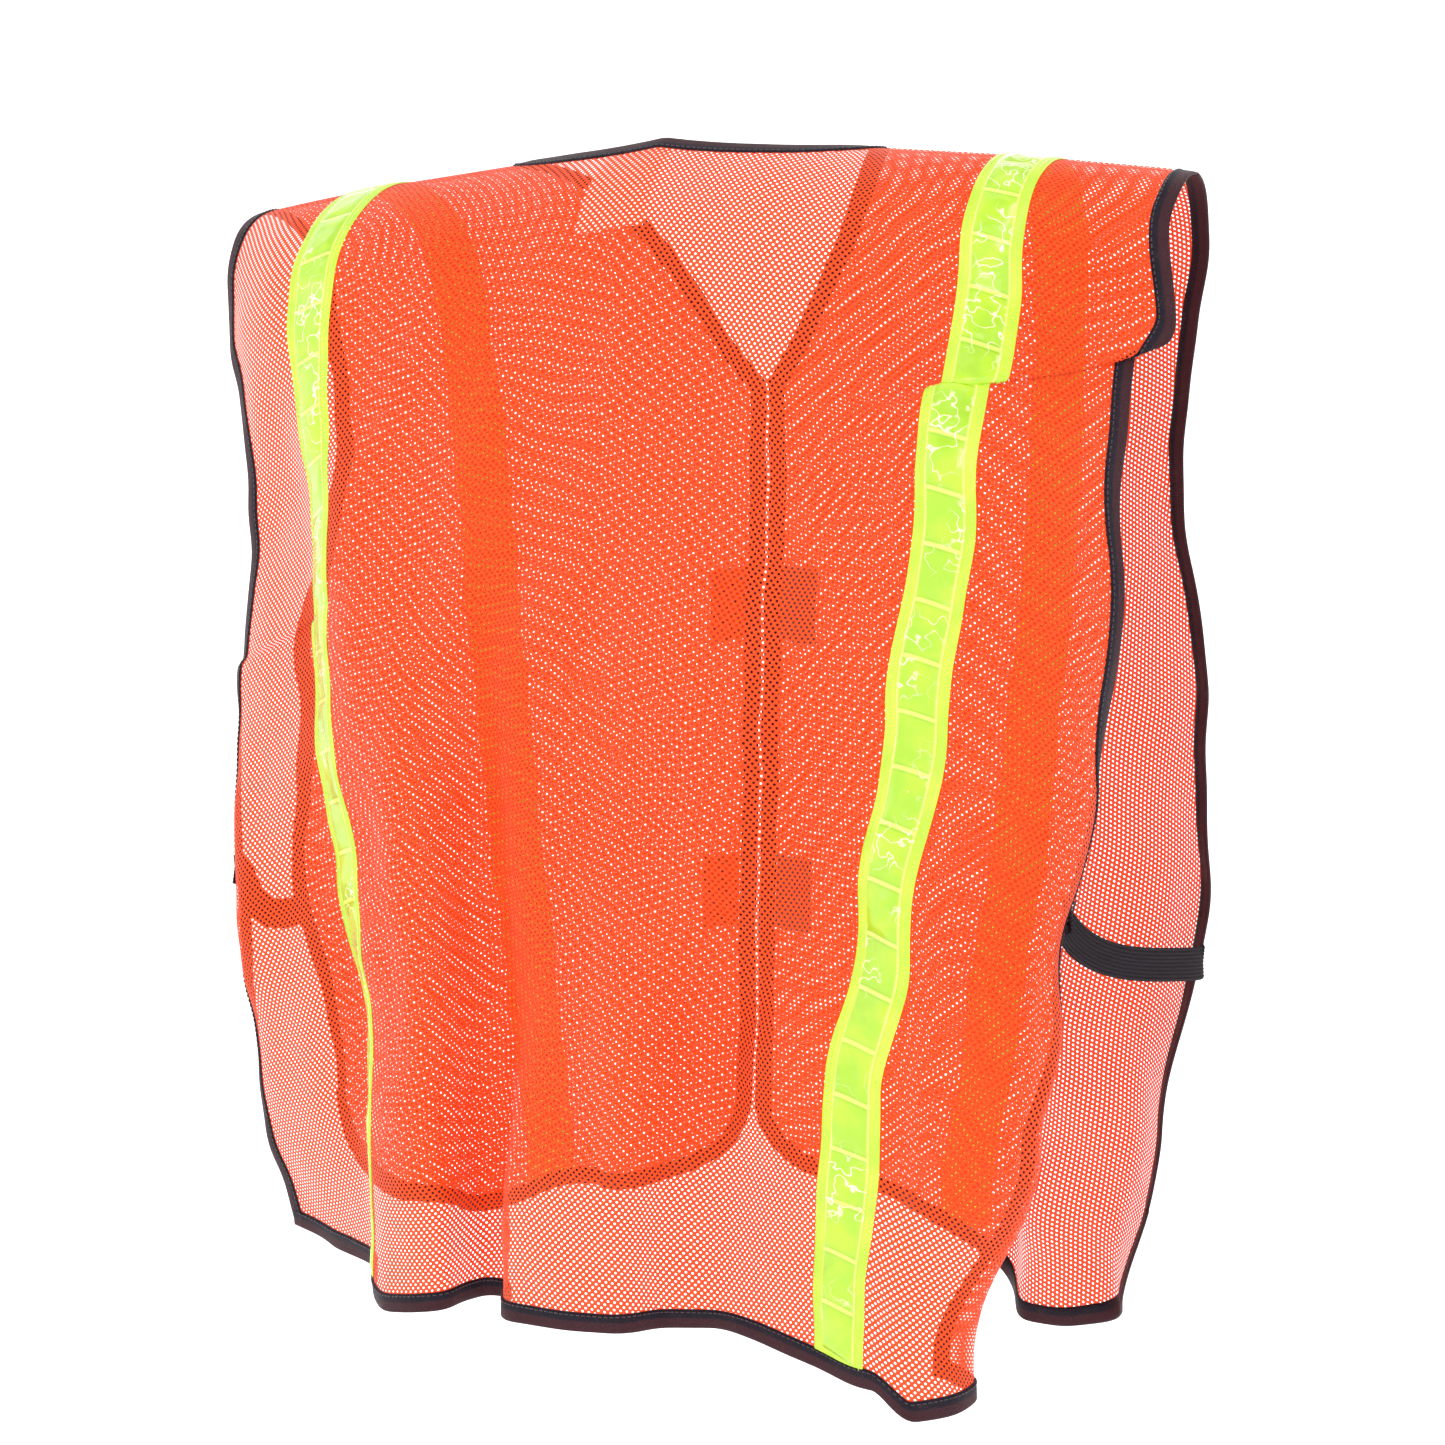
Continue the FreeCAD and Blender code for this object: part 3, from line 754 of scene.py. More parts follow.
@dataclass(frozen=True)
class TwoToneBinding(Finish):
    """Woven edge binding: a maroon ridge along the fold, near-black ribbon beside it."""

    name: str = "dark_binding"
    ribbon: Colour = (0.0060, 0.0035, 0.0110, 1.0)
    ridge: Colour = (0.036, 0.0080, 0.0120, 1.0)
    rib: float = 0.0009

    def wire(self, shader: Shader) -> None:
        """Wire the surface."""
        run, inset = shader.chart()
        edge = shader.ramp(inset, 0.0058, 0.0044)
        thread = shader.noise(700.0, 2.0)
        # Lighter speckles in scattered patches over the binding.
        speckle_patches = shader.noise(60.0, 3.0)
        shade = shader.blend(edge, self.ribbon, self.ridge)
        light = shader.times(shader.ramp(thread, 0.45, 0.75), shader.ramp(speckle_patches, 0.35, 0.7))
        tint = shader.blend(shader.times(light, 0.30), shade, (0.11, 0.045, 0.055, 1.0))
        ribs = shader.wave(run, 2 * math.pi / self.rib)
        warp = shader.wave(inset, 2 * math.pi / 0.0011)
        height = shader.plus(shader.plus(shader.times(ribs, 0.5), shader.times(warp, 0.35)), thread)
        shader.set(Base_Color=tint, Roughness=0.55, Specular_IOR_Level=0.2)
        shader.bump(height, 0.00022, 0.7)


@dataclass(frozen=True)
class LimeVinyl(Finish):
    """The tape's matt border: calendered lime vinyl with a fine cloth grain and painted shade over its
    soft relief.
    """

    name: str = "lime_vinyl"
    # The two colours below are the vinyl's painted lit and shaded tones.
    bright: Colour = (0.56, 0.84, 0.045, 1.0)
    shade: Colour = (0.44, 0.70, 0.025, 1.0)

    def wire(self, shader: Shader) -> None:
        """Wire the surface."""
        run, over = shader.chart()
        weave = shader.weave(run, over, 5200.0)
        # Painted shade: one noise raises the vinyl in the bump and paints it darker where it is low and
        # lighter where it is high.
        relief_and_shade = shader.noise(45.0, 4.0)
        tint = shader.blend(shader.ramp(relief_and_shade, 0.35, 0.65), self.shade, self.bright)
        shader.set(Base_Color=tint, Roughness=0.38, Emission_Color=(0.55, 0.95, 0.02, 1.0),
                   Emission_Strength=0.04, Coat_Weight=0.25, Coat_Roughness=0.25)
        shader.bump(shader.plus(weave, shader.times(relief_and_shade, 3.0)), 0.00008, 0.6)


@dataclass(frozen=True)
class PrismFilm(Finish):
    """The tape's moulded clear-faced centre: tiny prisms under a wet-looking gloss, with painted glints
    and a painted shade line beside each weld.
    """

    name: str = "prism_film"
    bright: Colour = (0.44, 0.68, 0.012, 1.0)
    deep: Colour = (0.33, 0.57, 0.008, 1.0)
    pale: Colour = (0.70, 0.86, 0.16, 1.0)
    # The glint colour below is that of the painted highlights on the film.
    glint: Colour = (0.93, 1.0, 0.62, 1.0)
    prism: float = 0.0016
    weld_pitch: float = 0.031
    film: float = 0.0235

    def wire(self, shader: Shader) -> None:
        """Wire the surface."""
        run, over = shader.chart()
        prisms = shader.weave(shader.plus(run, over), shader.minus(run, over), 2 * math.pi / self.prism)
        puddle = shader.noise(55.0, 2.0)
        wrinkle = shader.noise(160.0, 3.0)
        share = shader.plus(shader.ramp(puddle, 0.35, 0.68), shader.times(prisms, 0.18))
        tint = shader.blend(share, self.deep, self.bright)
        cell = shader.sum("FRACT", shader.sum("DIVIDE", run, self.weld_pitch))
        gap = shader.sum("MINIMUM", cell, shader.minus(1.0, cell))
        bar = shader.ramp(gap, 0.050, 0.022)
        # Painted shade: a darker line in the low valley beside each raised weld.
        groove_shade = shader.times(shader.ramp(gap, 0.085, 0.062), shader.ramp(gap, 0.040, 0.062))
        rim = shader.ramp(shader.sum("ABSOLUTE", over), self.film / 2 - 0.0019, self.film / 2 - 0.0009)
        tint = shader.blend(shader.times(groove_shade, 0.55), tint, (0.20, 0.40, 0.004, 1.0))
        tint = shader.blend(shader.times(shader.sum("MAXIMUM", bar, rim), 0.75), tint, self.pale)
        # Painted glints: thin pale streaks in scattered patches, standing in for highlights on the
        # wrinkled film.
        curl = shader.sum("ABSOLUTE", shader.minus(shader.noise(95.0, 1.5), 0.5))
        painted_glint = shader.times(shader.ramp(shader.noise(21.0, 1.0), 0.47, 0.60),
                            shader.ramp(curl, 0.022, 0.006))
        tint = shader.blend(shader.times(painted_glint, 0.85), tint, self.glint)
        shader.set(Base_Color=tint, Roughness=0.22, IOR=1.54, Coat_Weight=0.5, Coat_Roughness=0.05,
                   Emission_Color=(0.42, 0.92, 0.01, 1.0), Emission_Strength=0.04)
        height = shader.plus(shader.times(puddle, 5.0), shader.times(wrinkle, 1.6))
        shader.bump(shader.plus(height, shader.times(prisms, 0.05)), 0.0006, 0.55)


@dataclass(frozen=True)
class RibbedElastic(Finish):
    """Knitted elastic: cords along it, each wrapped in fine yarn."""

    name: str = "black_elastic"
    dark: Colour = (0.005, 0.003, 0.005, 1.0)
    light: Colour = (0.036, 0.024, 0.034, 1.0)
    cords: int = 9
    width: float = 0.020

    def wire(self, shader: Shader) -> None:
        """Wire the surface."""
        run, over = shader.chart()
        cord = shader.sum("COSINE", shader.times(over, 2 * math.pi * self.cords / self.width))
        wrap = shader.wave(run, 2 * math.pi / 0.00095)
        fuzz = shader.noise(1100.0, 2.0)
        share = shader.plus(shader.times(cord, 0.28), shader.times(wrap, 0.12))
        tint = shader.blend(shader.plus(share, shader.times(fuzz, 0.6)),
                            self.dark, self.light)
        height = shader.plus(cord, shader.times(wrap, 0.4))
        shader.set(Base_Color=tint, Roughness=0.66, Specular_IOR_Level=0.2)
        shader.bump(shader.plus(height, shader.times(fuzz, 0.5)), 0.00030, 0.9)


@dataclass(frozen=True)
class LabelCloth(Finish):
    """Thin white label cloth, plain woven and unprinted, with painted shade in its creases and a painted
    glow.
    """

    name: str = "label_cloth"
    white: Colour = (0.90, 0.89, 0.86, 1.0)
    # The second colour below is the painted shade in the creases.
    shaded_grey: Colour = (0.74, 0.72, 0.69, 1.0)

    def wire(self, shader: Shader) -> None:
        """Wire the surface."""
        run, over = shader.chart()
        weave = shader.weave(run, over, 9000.0)
        # Painted shade: the label is coloured greyer along the low lines of its crease bump.
        crease_and_shade = shader.noise(70.0, 4.0)
        tint = shader.blend(shader.ramp(crease_and_shade, 0.30, 0.62), self.shaded_grey, self.white)
        # The emission paints a glow that lifts the label, which hangs in shade behind the mesh.
        shader.set(Base_Color=tint, Roughness=0.58, Sheen_Weight=0.1,
                   Emission_Color=(1.0, 0.90, 0.86, 1.0), Emission_Strength=0.90)
        shader.bump(shader.plus(weave, shader.times(crease_and_shade, 4.0)), 0.0001, 0.7)


@dataclass(frozen=True)
class Thread(Finish):
    """Twisted sewing thread."""

    tone: Colour
    light: Colour

    def wire(self, shader: Shader) -> None:
        """Wire the surface."""
        twist = shader.noise(2600.0, 2.0)
        shader.set(Base_Color=shader.blend(shader.ramp(twist, 0.35, 0.65), self.tone, self.light),
                   Roughness=0.5, Sheen_Weight=0.2)
        shader.bump(twist, 0.0002, 0.8)


@dataclass(frozen=True)
class TouchFastener(Finish):
    """Hook-and-loop tape: brushed loops, or rows of tiny moulded hooks."""

    dark: Colour
    light: Colour
    rows: float
    rough: float

    def wire(self, shader: Shader) -> None:
        """Wire the surface."""
        run, over = shader.chart()
        dots = shader.weave(run, over, self.rows)
        fuzz = shader.noise(1500.0, 4.0)
        share = shader.plus(shader.times(dots, 0.4), fuzz)
        shader.set(Base_Color=shader.blend(shader.ramp(share, 0.3, 0.9), self.dark, self.light),
                   Roughness=self.rough, Sheen_Weight=0.3)
        shader.bump(share, 0.0007, 1.0)


@dataclass(frozen=True)
class PlainStudio(Finish):
    """Matt near-white for the floor and its sweep."""

    name: str = "studio_white"

    def wire(self, shader: Shader) -> None:
        """Wire the surface."""
        shader.set(Base_Color=(0.93, 0.93, 0.93, 1.0), Roughness=0.9, Specular_IOR_Level=0.1,
                   Emission_Color=(1.0, 1.0, 1.0, 1.0), Emission_Strength=0.40)


class Wardrobe:
    """All the finishes, each made once."""

    def __init__(self) -> None:
        """Make every material."""
        finishes = [
            OpenMesh(), TwoToneBinding(), LimeVinyl(), PrismFilm(), RibbedElastic(), LabelCloth(),
            Thread("dark_thread", (0.010, 0.006, 0.010, 1.0), (0.06, 0.04, 0.05, 1.0)),
            Thread("lime_thread", (0.34, 0.50, 0.03, 1.0), (0.75, 0.95, 0.18, 1.0)),
            Thread("orange_thread", (0.80, 0.06, 0.004, 1.0), (1.0, 0.20, 0.03, 1.0)),
            TouchFastener("loop_fastener", (0.010, 0.006, 0.010, 1.0), (0.07, 0.05, 0.06, 1.0),
                          2600.0, 0.9),
            TouchFastener("hook_fastener", (0.008, 0.006, 0.009, 1.0), (0.10, 0.08, 0.09, 1.0),
                          4200.0, 0.45),
            PlainStudio(),
        ]
        self.made = {finish.name: finish.make() for finish in finishes}

    def dress(self, piece: Piece, finish: str) -> None:
        """Give a piece its only material."""
        piece.data.materials.clear()
        piece.data.materials.append(self.made[finish])


@dataclass
class Garment:
    """What every sub-assembly shares: the wardrobe, and how a piece is joined to the frame."""

    wardrobe: Wardrobe

    def finish(self, piece: Piece, look: str, body: str, *nodes: str) -> None:
        """Dress a piece, join it to its body unless that is a front, and let it stand for its CAD nodes.

        Args:
            piece: the finished mesh.
            look: the name of its finish.
            body: the body to join it to; a front's pieces are not joined but baked in place.
            nodes: the CAD nodes that it replaces.
        """
        self.wardrobe.dress(piece, look)
        if body.endswith("_front"):
            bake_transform(piece)
        else:
            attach(piece, body)
        if nodes:
            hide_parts(*nodes)
        LOG.info("made %s, %d faces", piece.name, len(piece.data.polygons))

    def trim(self, name: str, cut: Cut, path: np.ndarray, body: str, node: str,
             half: float = 0.0010) -> Piece:
        """One run of binding and its stitches, along a path with the cloth on its left hand."""
        piece = strip(name, cut.drape, path, fold_section(cut.binding, half))
        self.finish(piece, "dark_binding", body, node)
        inset = path + left_of(path) * (cut.binding - cut.stitch_inset)
        thread = stitch_row(name + "_stitches", cut.drape, inset, half + 0.0001)
        self.finish(thread, "dark_thread", body)
        return piece


@dataclass
class BackPanel(Garment):
    """The back's mesh and the binding round it."""

    cut: BackCut = field(default_factory=lambda: BACK)
    columns: int = 190
    rows: int = 200
    waist: float = 0.875

    def build(self) -> None:
        """Make the mesh, its bindings and their stitching."""
        mesh = self.mesh()
        trims = [self.neck_binding(), self.hem_binding()]
        trims += [self.side_binding(side) for side in Side]

    def mesh(self) -> Piece:
        """The open mesh of the back, in one sheet."""
        half = self.cut.side_halves[-1]
        lean = np.linspace(-half, half, self.columns)
        share = np.linspace(0.0, 1.0, self.rows)[:, None]
        top, hem = self.cut.top(lean * self.waist)[None, :], self.cut.hem(lean)[None, :]
        down = top + (hem - top) * share
        across = lean[None, :] * self.cut.side(down) / half
        top = self.cut.top(across)
        down = top + (self.cut.hem(across) - top) * share
        chart = np.stack([across, -down], axis=2)
        sheet = cloth_grid("back_mesh", self.cut.drape.at(across, down), chart)
        face_outwards(sheet, np.array([0.0, 1.0, 0.0]))
        self.finish(sheet, "orange_mesh", "back", "back_mesh_panel")
        return sheet

    def neck_binding(self) -> Piece:
        """Binding along the back neck, from seam to seam."""
        turn = np.linspace(math.pi, 0.0, 90)
        across = self.cut.neck_half * np.cos(turn)
        path = flat_path(across, self.cut.neck_drop * np.sin(turn))
        return self.trim("back_neck_bound_edge", self.cut, path, "back", "back_neck_binding")

    def hem_binding(self) -> Piece:
        """Binding along the back hem."""
        half = self.cut.side_halves[-1]
        across = np.linspace(half, -half, 260)
        path = flat_path(across, self.cut.hem(across))
        return self.trim("back_hem_bound_edge", self.cut, path, "back", "back_hem_binding", 0.0012)

    def side_binding(self, side: Side) -> Piece:
        """Binding down an armhole and the side below it."""
        half = self.cut.side_halves[-1] * side.value
        down = np.linspace(0.001, float(self.cut.hem(np.array([half]))[0]), 220)
        if side is Side.RIGHT:
            down = down[::-1]
        path = flat_path(self.cut.side(down) * side.value, down)
        name = f"{side.word}_back_bound_side"
        return self.trim(name, self.cut, path, "back", f"{side.word}_back_side_binding")


@dataclass
class FrontPanel(Garment):
    """One front's mesh, the binding round it and its closure patches."""

    side: Side = Side.LEFT
    cut: FrontCut = field(default_factory=lambda: LEFT_FRONT)
    columns: int = 110
    rows: int = 190
    grain: float = 42.0
    crowding: float = 0.12
    patch_place: float = 0.025
    patch_half: tuple[float, float] = (0.012, 0.024)
    patch_thick: float = 0.0018

    @property
    def body(self) -> str:
        """The CAD body that this front moves with."""
        return self.side.word + "_front"

    def build(self) -> None:
        """Make the mesh, its bindings and its patches."""
        mesh = self.mesh()
        trims = [self.edge_binding(), self.hem_binding(), self.side_binding()]
        self.patches()

    def mesh(self) -> Piece:
        """The open mesh of one front."""
        share = np.linspace(0.0, 1.0, self.rows)[:, None]
        lean = np.linspace(0.0, 1.0, self.columns)[None, :]
        lean = lean + self.crowding * np.sin(2 * math.pi * lean) / (2 * math.pi)
        down = share * 0.70 + 0 * lean
        for _ in range(6):
            inner = self.cut.inner(down)
            across = inner + (self.cut.side(down) - inner) * lean
            down = share * self.cut.hem(across)
        grain = math.radians(self.grain)
        chart = np.stack([across * math.cos(grain) - down * math.sin(grain),
                          across * math.sin(grain) + down * math.cos(grain)], axis=2)
        places = self.cut.drape.at(across * self.side.value, down)
        sheet = cloth_grid(f"{self.side.word}_front_mesh", places, chart)
        face_outwards(sheet, np.array([0.0, -1.0, 0.0]))
        self.finish(sheet, "orange_mesh", self.body, f"{self.side.word}_front_mesh_panel")
        return sheet

    def bound(self, run: str, across: np.ndarray, down: np.ndarray) -> Piece:
        """One run of binding, its path given on the wearer's left; the right front mirrors it."""
        path = flat_path(across, down)
        if self.side is Side.RIGHT:
            path = (path * np.array([-1.0, 1.0]))[::-1]
        side = self.side.word
        return self.trim(f"{side}_front_bound_{run}", self.cut, path, self.body,
                         f"{side}_front_{run}_binding")

    def edge_binding(self) -> Piece:
        """Binding down the neck's vee and the front edge, to the rounded nose of the hem."""
        low = float(self.cut.hem(np.array([self.cut.edge]))[0])
        down = np.concatenate([np.linspace(low, 0.22, 120), np.linspace(0.218, 0.001, 90)])
        return self.bound("edge", self.cut.inner(down), down)

    def hem_binding(self) -> Piece:
        """Binding round the hem, with its rounded corner."""
        half, edge = self.cut.side_halves[-1], self.cut.edge
        share = np.linspace(0.0, 1.0, 240)
        across = edge + (half - edge) * (0.5 + 0.5 * np.cos(math.pi * share))
        return self.bound("hem", across, self.cut.hem(across))

    def side_binding(self) -> Piece:
        """Binding down the armhole and the side."""
        half = self.cut.side_halves[-1]
        down = np.linspace(0.001, float(self.cut.hem(np.array([half]))[0]), 220)
        return self.bound("side", self.cut.side(down), down)

    def patches(self) -> None:
        """Loop patches outside the left front, hook patches inside the right one."""
        kind = "loop" if self.side is Side.LEFT else "hook"
        thick = self.patch_thick
        bottom, top = (0.0002, thick) if kind == "loop" else (-thick, -0.0002)
        half_wide, half_tall = self.patch_half
        for place, height in (("upper", -0.274), ("lower", -0.464)):
            middle = float(self.cut.drape.level(np.array([self.patch_place]), np.array([height]))[0])
            down = np.linspace(middle - half_tall, middle + half_tall, 20)
            path = flat_path(self.patch_place * self.side.value, down)
            patch = strip(f"{place}_{kind}_pad", self.cut.drape, path,
                          band_section(-half_wide, half_wide, bottom, top, 8))
            node = f"{place}_{kind}_patch"
            self.finish(patch, kind + "_fastener", self.body, node)
            frame_path = np.concatenate([
                flat_path(np.linspace(-1, 1, 12), -1.0), flat_path(1.0, np.linspace(-1, 1, 24)),
                flat_path(np.linspace(1, -1, 12), 1.0), flat_path(-1.0, np.linspace(1, -1, 24))])
            frame_path = frame_path * (np.array(self.patch_half) - 0.0018) + path.mean(axis=0)
            height = top if kind == "loop" else bottom
            thread = stitch_row(f"{place}_{kind}_stitches", self.cut.drape, frame_path, height)
            self.finish(thread, "dark_thread", self.body)


@dataclass
class ReflectiveTape(Garment):
    """A tape over one shoulder on one face: stitched vinyl with a welded prism film."""

    face: Face = Face.BACK
    side: Side = Side.LEFT
    cut: Cut = field(default_factory=lambda: BACK)
    place: float = 0.213
    width: float = 0.035
    film: float = 0.0235
    backing: float = 0.0007
    weld_pitch: float = 0.031
    weld: float = 0.0011
    inset: float = 0.0

    def build(self) -> None:
        """Make the vinyl, the film and both rows of stitches."""
        end = self.place - self.inset
        seen = end * self.side.value if self.face is Face.BACK else end
        low = float(self.cut.hem(np.array([seen]))[0]) - 0.0085
        down = np.linspace(0.0, low, 330)
        across = (self.place - self.inset * down / low) * self.side.value
        path = flat_path(across, down)
        drape, half = self.cut.drape, self.width / 2
        name = f"{self.side.word}_{self.face.word}"
        body = "back" if self.face is Face.BACK else self.side.word + "_front"
        vinyl = strip(name + "_tape_vinyl", drape, path,
                      band_section(-half, half, 0.0001, self.backing, 12))
        self.finish(vinyl, "lime_vinyl", body, name + "_tape_backing")
        film = strip(name + "_tape_prisms", drape, path[2:-2], band_section(
            -self.film / 2, self.film / 2, self.backing - 0.0001, self.backing + 0.0004, 14),
            self.pillow)
        self.finish(film, "prism_film", body, name + "_prism_film")
        for number, offset in enumerate((-half + 0.0026, half - 0.0026)):
            seam = path + np.array([offset, 0.0])
            thread = stitch_row(f"{name}_tape_stitches_{number}", drape, seam,
                                self.backing + 0.0001, 0.0036, 0.00030)
            self.finish(thread, "lime_thread", body)

    def pillow(self, run: np.ndarray, over: np.ndarray) -> np.ndarray:
        """Lift of the film: a shallow pillow in each cell, and a ridge along each weld."""
        cell = np.mod(run, self.weld_pitch) / self.weld_pitch
        from_weld = np.minimum(cell, 1.0 - cell) * self.weld_pitch
        from_side = self.film / 2 - np.abs(over)
        rise = ease(from_weld / 0.006) * ease(from_side / 0.005)
        ridge = ease(1.0 - from_weld / self.weld) * ease(from_side / 0.0015)
        chance = np.random.default_rng(5 + 2 * self.face.value + self.side.value)
        waves = np.zeros(np.broadcast(run, over).shape)
        for _ in range(7):
            size, lean = chance.uniform(0.010, 0.035), chance.uniform(-0.9, 0.9)
            waves = waves + np.sin(2 * math.pi * (run + lean * over) / size + chance.uniform(0, 6.3))
        return 0.0009 * rise + 0.0006 * ridge + 0.00010 * waves * rise


@dataclass
class SideStrap(Garment):
    """An elastic strap from the back's side edge to the front's, with its stitched ends."""

    side: Side = Side.LEFT
    height: float = -0.466
    back_rise: float = 0.016
    front_fall: float = 0.009
    width: float = 0.020
    thick: float = 0.0013
    cords: int = 9
    lap: float = 0.009
    lift: float = 0.0019
    sag: float = 0.012
    lean: float = 0.004
    level_reach: float = 0.33

    def build(self) -> None:
        """Make the band and its bar tacks."""
        back, front = BACK, front_of(self.side)
        start = self.sewn(back, Face.BACK)
        finish = self.sewn(front, Face.FRONT)
        band = self.band(start, finish)
        body = self.side.word + "_front"
        self.wardrobe.dress(band, "black_elastic")
        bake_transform(band)
        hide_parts(self.side.word + "_side_strap")
        LOG.info("made %s, %d faces", band.name, len(band.data.polygons))
        for cut, face, owner in ((back, Face.BACK, "back"), (front, Face.FRONT, body)):
            self.tack(cut, face, owner)

    def sewn(self, cut: Cut, face: Face) -> np.ndarray:
        """Two points of the strap on a panel: inside its edge, and just past it."""
        edge = self.edge(cut, face)
        level = self.level(cut, face)
        reach = np.array([edge - self.lap, edge + 0.0015]) * self.side.value
        return cut.drape.at(reach, np.full(2, level), np.full(2, self.lift))

    def level(self, cut: Cut, face: Face) -> float:
        """How far down the panel the strap is sewn."""
        height = self.height + (self.back_rise if face is Face.BACK else -self.front_fall)
        return float(cut.drape.level(np.array([self.level_reach]), np.array([height]))[0])

    def edge(self, cut: Cut, face: Face) -> float:
        """The panel's half width at the strap."""
        return float(cut.side(np.array([self.level(cut, face)]))[0])

    def band(self, start: np.ndarray, finish: np.ndarray) -> Piece:
        """The ribbed elastic, as a closed band that sags a little between its ends."""
        share = np.linspace(0.0, 1.0, 90)[:, None]
        pull = (finish[1] - start[1]) * 0.3
        first = start[1] + (start[1] - start[0]) * 0.8 + pull * 0.2
        last = finish[1] + (finish[1] - finish[0]) * 0.8 - pull * 0.2
        line = ((1 - share) ** 3 * start[1] + 3 * (1 - share) ** 2 * share * first
                + 3 * (1 - share) * share ** 2 * last + share ** 3 * finish[1])
        turn = math.pi * share[:, 0]
        line[:, 2] -= self.sag * np.sin(turn) + self.lean * np.sin(2 * turn)
        line = np.concatenate([start[:1], line, finish[:1]])
        line = np.concatenate([np.linspace(line[0], line[1], 6)[:-1], line[1:-1],
                               np.linspace(line[-2], line[-1], 6)[1:]])
        way = np.gradient(line, axis=0)
        way /= np.linalg.norm(way, axis=1, keepdims=True)
        up = np.array([0.0, 0.0, 1.0]) - way * way[:, 2:3]
        up /= np.linalg.norm(up, axis=1, keepdims=True)
        out = np.cross(way, up)
        section = self.section()
        around = np.concatenate([section, section[:1]])
        places = (line[:, None, :] + up[:, None, :] * around[None, :, :1]
                  + out[:, None, :] * around[None, :, 1:])
        run = run_of(line)
        chart = np.stack(np.broadcast_arrays(run[:, None], around[None, :, 0]), axis=2)
        piece = cloth_grid(self.side.word + "_elastic", places, chart)
        close_tube(piece)
        return piece

    def section(self) -> np.ndarray:
        """The elastic's outline, with a rib over each of its cords."""
        over = np.linspace(self.width / 2, -self.width / 2, self.cords * 6 + 1)
        rib = np.cos(2 * math.pi * self.cords * over / self.width) * 0.00016
        return np.concatenate([flat_path(over, self.thick / 2 + rib),
                               flat_path(over[::-1], -self.thick / 2 - rib[::-1])])

    def tack(self, cut: Cut, face: Face, body: str) -> None:
        """A bar tack: a dense zigzag of thread across the strap's end."""
        edge, level = self.edge(cut, face), self.level(cut, face)
        turns = 22
        share = np.linspace(0.0, 1.0, turns * 2 + 1)
        down = level + (share - 0.5) * (self.width - 0.002)
        reach = edge - self.lap * 0.55 + np.where(np.arange(turns * 2 + 1) % 2 == 0, -0.0016, 0.0016)
        path = flat_path(reach * self.side.value, down)
        fine = np.linspace(0, len(path) - 1, (len(path) - 1) * 6 + 1)
        dense = flat_path(*[np.interp(fine, np.arange(len(path)), axis) for axis in path.T])
        piece = strip(f"{self.side.word}_{face.word}_bar_tack", cut.drape, dense,
                      band_section(-0.0003, 0.0003, 0.0024, 0.0031, 1))
        node = f"{self.side.word}_strap_{face.word}_tack"
        self.finish(piece, "dark_thread", body, node)


@dataclass
class ShoulderSeam(Garment):
    """The seam allowance inside one shoulder, with its stitches."""

    side: Side = Side.LEFT
    near: float = 0.121
    far: float = 0.296
    below: float = 0.005

    def build(self) -> None:
        """Make the turned-in band of mesh and a row of thread."""
        drape = BACK_DRAPE
        path = flat_path(np.linspace(self.near, self.far, 90) * self.side.value, self.below)
        band = strip(self.side.word + "_seam_allowance", drape, path,
                     band_section(-0.0045, 0.0045, -0.0014, -0.0006, 4))
        self.finish(band, "orange_mesh", "back", self.side.word + "_shoulder_seam")
        thread = stitch_row(self.side.word + "_shoulder_stitches", drape,
                            path - np.array([0.0, 0.0025]), 0.0003)
        self.finish(thread, "orange_thread", "back")


@dataclass
class CareLabel(Garment):
    """The blank label inside the back neck."""

    low: float = -0.0065
    high: float = 0.0345
    top: float = 0.0570
    tall: float = 0.064
    under: tuple[float, float] = (-0.0030, -0.0026)

    def build(self) -> None:
        """Make the label and the stitches that hold it at its sewn top."""
        rows = 40
        down = np.linspace(self.top, self.top + self.tall, rows)
        middle = (self.low + self.high) / 2
        path = flat_path(middle, down)
        half = (self.high - self.low) / 2
        label = strip("blank_label", BACK_DRAPE, path, band_section(-half, half, *self.under, 10))
        self.finish(label, "label_cloth", "label", "care_label")
        across = np.linspace(self.low, self.high, 20)
        seam = flat_path(across, self.top - 0.0012)
        thread = stitch_row("label_stitches", BACK_DRAPE, seam, 0.0004, 0.0028)
        self.finish(thread, "orange_thread", "back", "care_label_stitching")


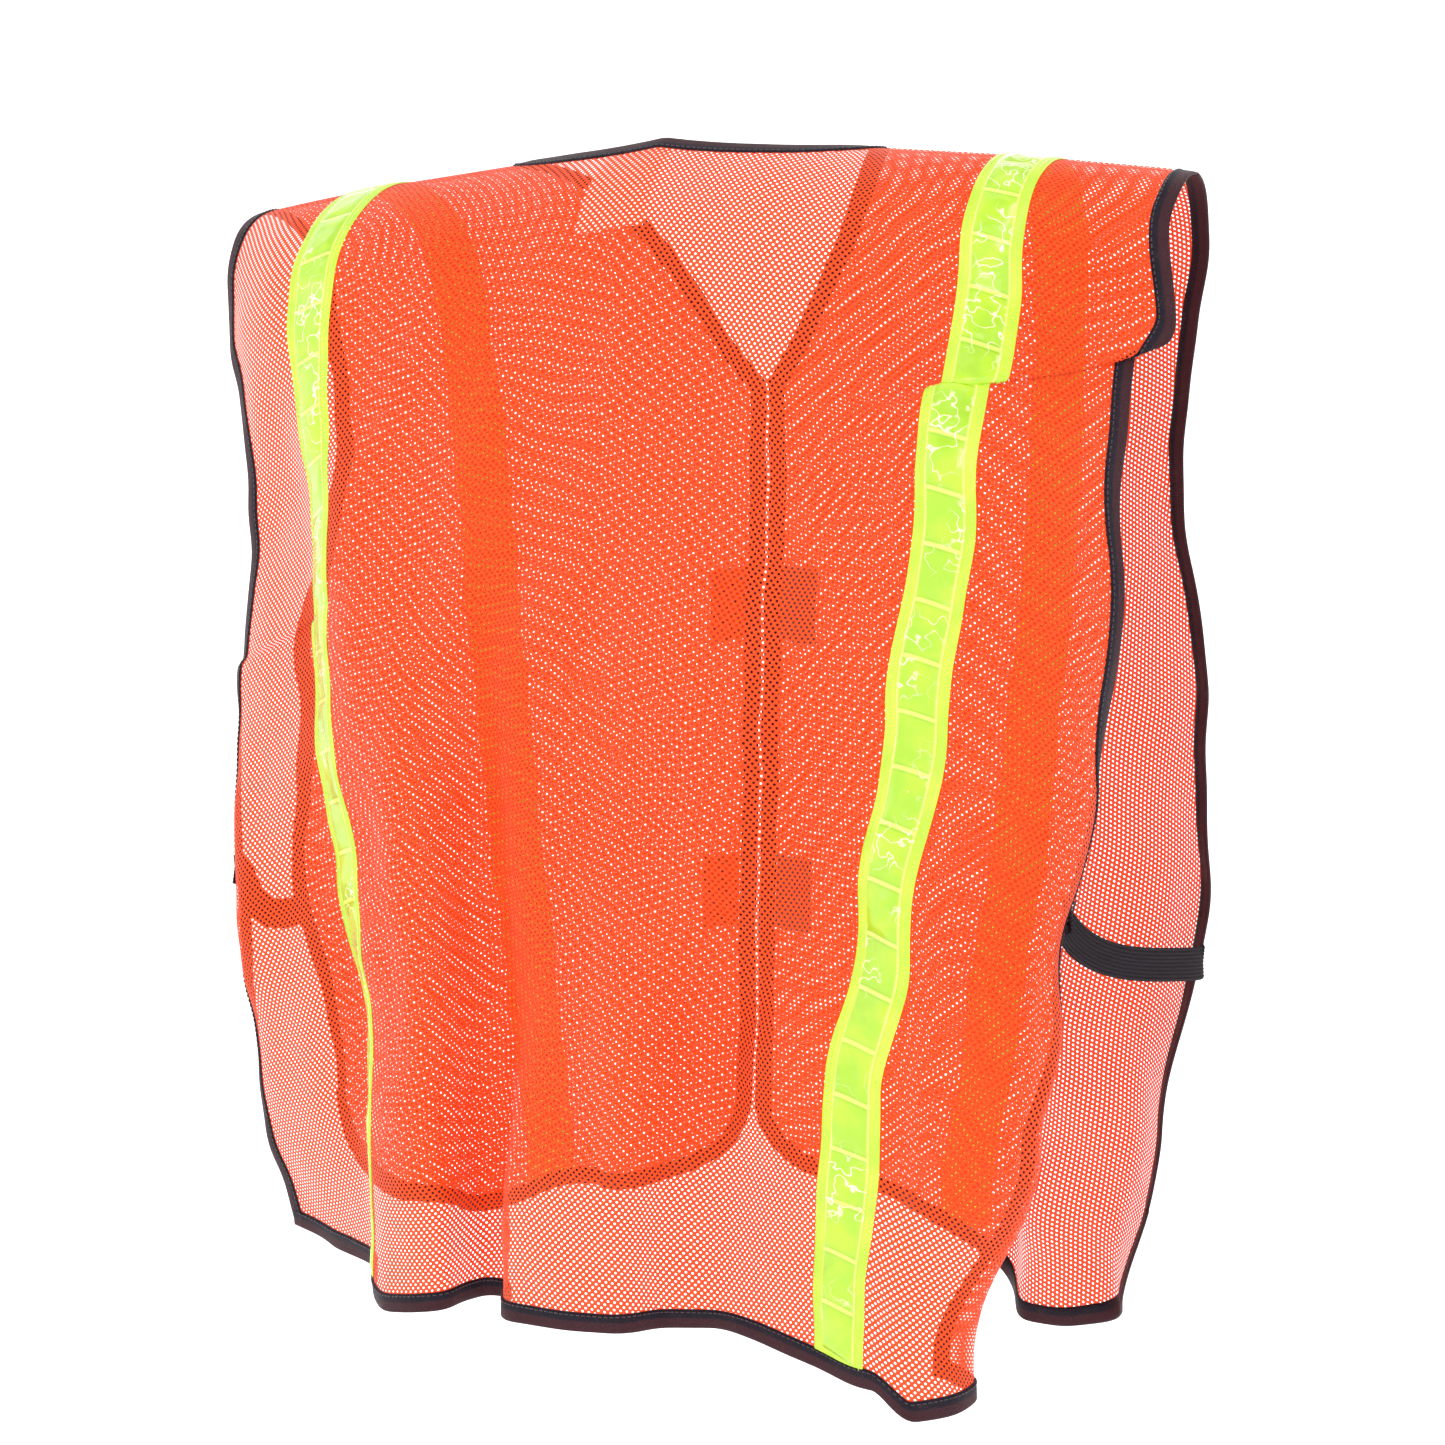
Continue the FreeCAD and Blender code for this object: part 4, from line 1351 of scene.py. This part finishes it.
@dataclass
class Studio:
    """Plain pale floor and sweep, soft light and the camera."""

    wardrobe: Wardrobe
    floor: float = -1.15
    swing: float = 22.0
    distance: float = 1.80
    eye: float = -0.212
    horizon: float = 510.0
    axis: float = 700.0
    frame_size: float = 1445.0
    detail: float = 1620.0

    def build(self) -> None:
        """Make the floor, the lights and the camera."""
        self.sweep()
        self.lights()
        self.camera()
        view = bpy.context.scene.view_settings
        view.view_transform = "Standard"

    def sweep(self) -> None:
        """A floor that curves up into a wall all round, as a wide shallow bowl."""
        fresh()
        bpy.ops.mesh.primitive_grid_add(x_subdivisions=60, y_subdivisions=60, size=24.0,
                                        location=(0.0, 0.0, self.floor))
        bpy.ops.object.transform_apply(location=True, rotation=False, scale=False)
        floor = bpy.context.object
        floor.name = "studio_floor"
        for vertex in floor.data.vertices:
            away = math.hypot(vertex.co.x, vertex.co.y)
            vertex.co.z += 0.22 * max(0.0, away - 4.5) ** 2
        bpy.ops.object.shade_smooth()
        self.wardrobe.dress(floor, "studio_white")

    def lights(self) -> None:
        """A bright even sky, a large soft key and a low fill."""
        world = bpy.data.worlds.new("studio")
        bpy.context.scene.world = world
        world.use_nodes = True
        world.node_tree.nodes["Background"].inputs[0].default_value = (1.0, 1.0, 1.0, 1.0)
        world.node_tree.nodes["Background"].inputs[1].default_value = 0.72
        for name, place, size, power in (
                ("key", (-1.6, 2.6, 1.7), 1.0, 17.0),
                ("fill", (2.4, 2.0, 0.6), 1.4, 7.0),
                ("front_fill", (0.6, -2.8, 0.9), 1.8, 8.0),
                ("floor_wash", (0.0, 0.4, 2.6), 2.0, 10.0)):
            light = bpy.data.lights.new(name, "AREA")
            light.energy = power
            light.size = size
            lamp = bpy.data.objects.new(name, light)
            bpy.context.scene.collection.objects.link(lamp)
            lamp.location = place
            lamp.rotation_euler = (Vector((0.0, 0.0, -0.35)) - Vector(place)).to_track_quat(
                "-Z", "Y").to_euler()

    def camera(self) -> None:
        """Behind the wearer's right shoulder, level with the chest."""
        swing = math.radians(self.swing)
        focal = self.detail * self.distance
        pitch = math.atan((self.frame_size / 2 - self.horizon) / focal)
        right = Vector((-math.cos(swing), -math.sin(swing), 0.0))
        place = Vector((-self.distance * math.sin(swing), self.distance * math.cos(swing), self.eye))
        place += right * ((self.frame_size / 2 - self.axis) / self.detail)
        ahead = Vector((math.sin(swing), -math.cos(swing), 0.0)) * math.cos(pitch)
        ahead.z = -math.sin(pitch)
        data = bpy.data.cameras.new("camera")
        data.sensor_width = 36.0
        data.lens = 36.0 * focal / self.frame_size
        data.clip_end = 60.0
        camera = bpy.data.objects.new("camera", data)
        bpy.context.scene.collection.objects.link(camera)
        camera.location = place
        camera.rotation_euler = ahead.to_track_quat("-Z", "Y").to_euler()
        bpy.context.scene.camera = camera


def main() -> None:
    """Build the vest, piece by piece, and its studio."""
    for drape in (BACK_DRAPE, FRONT_DRAPE):
        drape.lay()
    wardrobe = Wardrobe()
    Studio(wardrobe).build()
    BackPanel(wardrobe).build()
    for side in Side:
        FrontPanel(wardrobe, side, front_of(side)).build()
        ReflectiveTape(wardrobe, Face.BACK, side, BACK).build()
        ReflectiveTape(wardrobe, Face.FRONT, side, front_of(side), inset=0.045).build()
        SideStrap(wardrobe, side).build()
        ShoulderSeam(wardrobe, side).build()
    CareLabel(wardrobe).build()


if __name__ == "__main__":
    main()
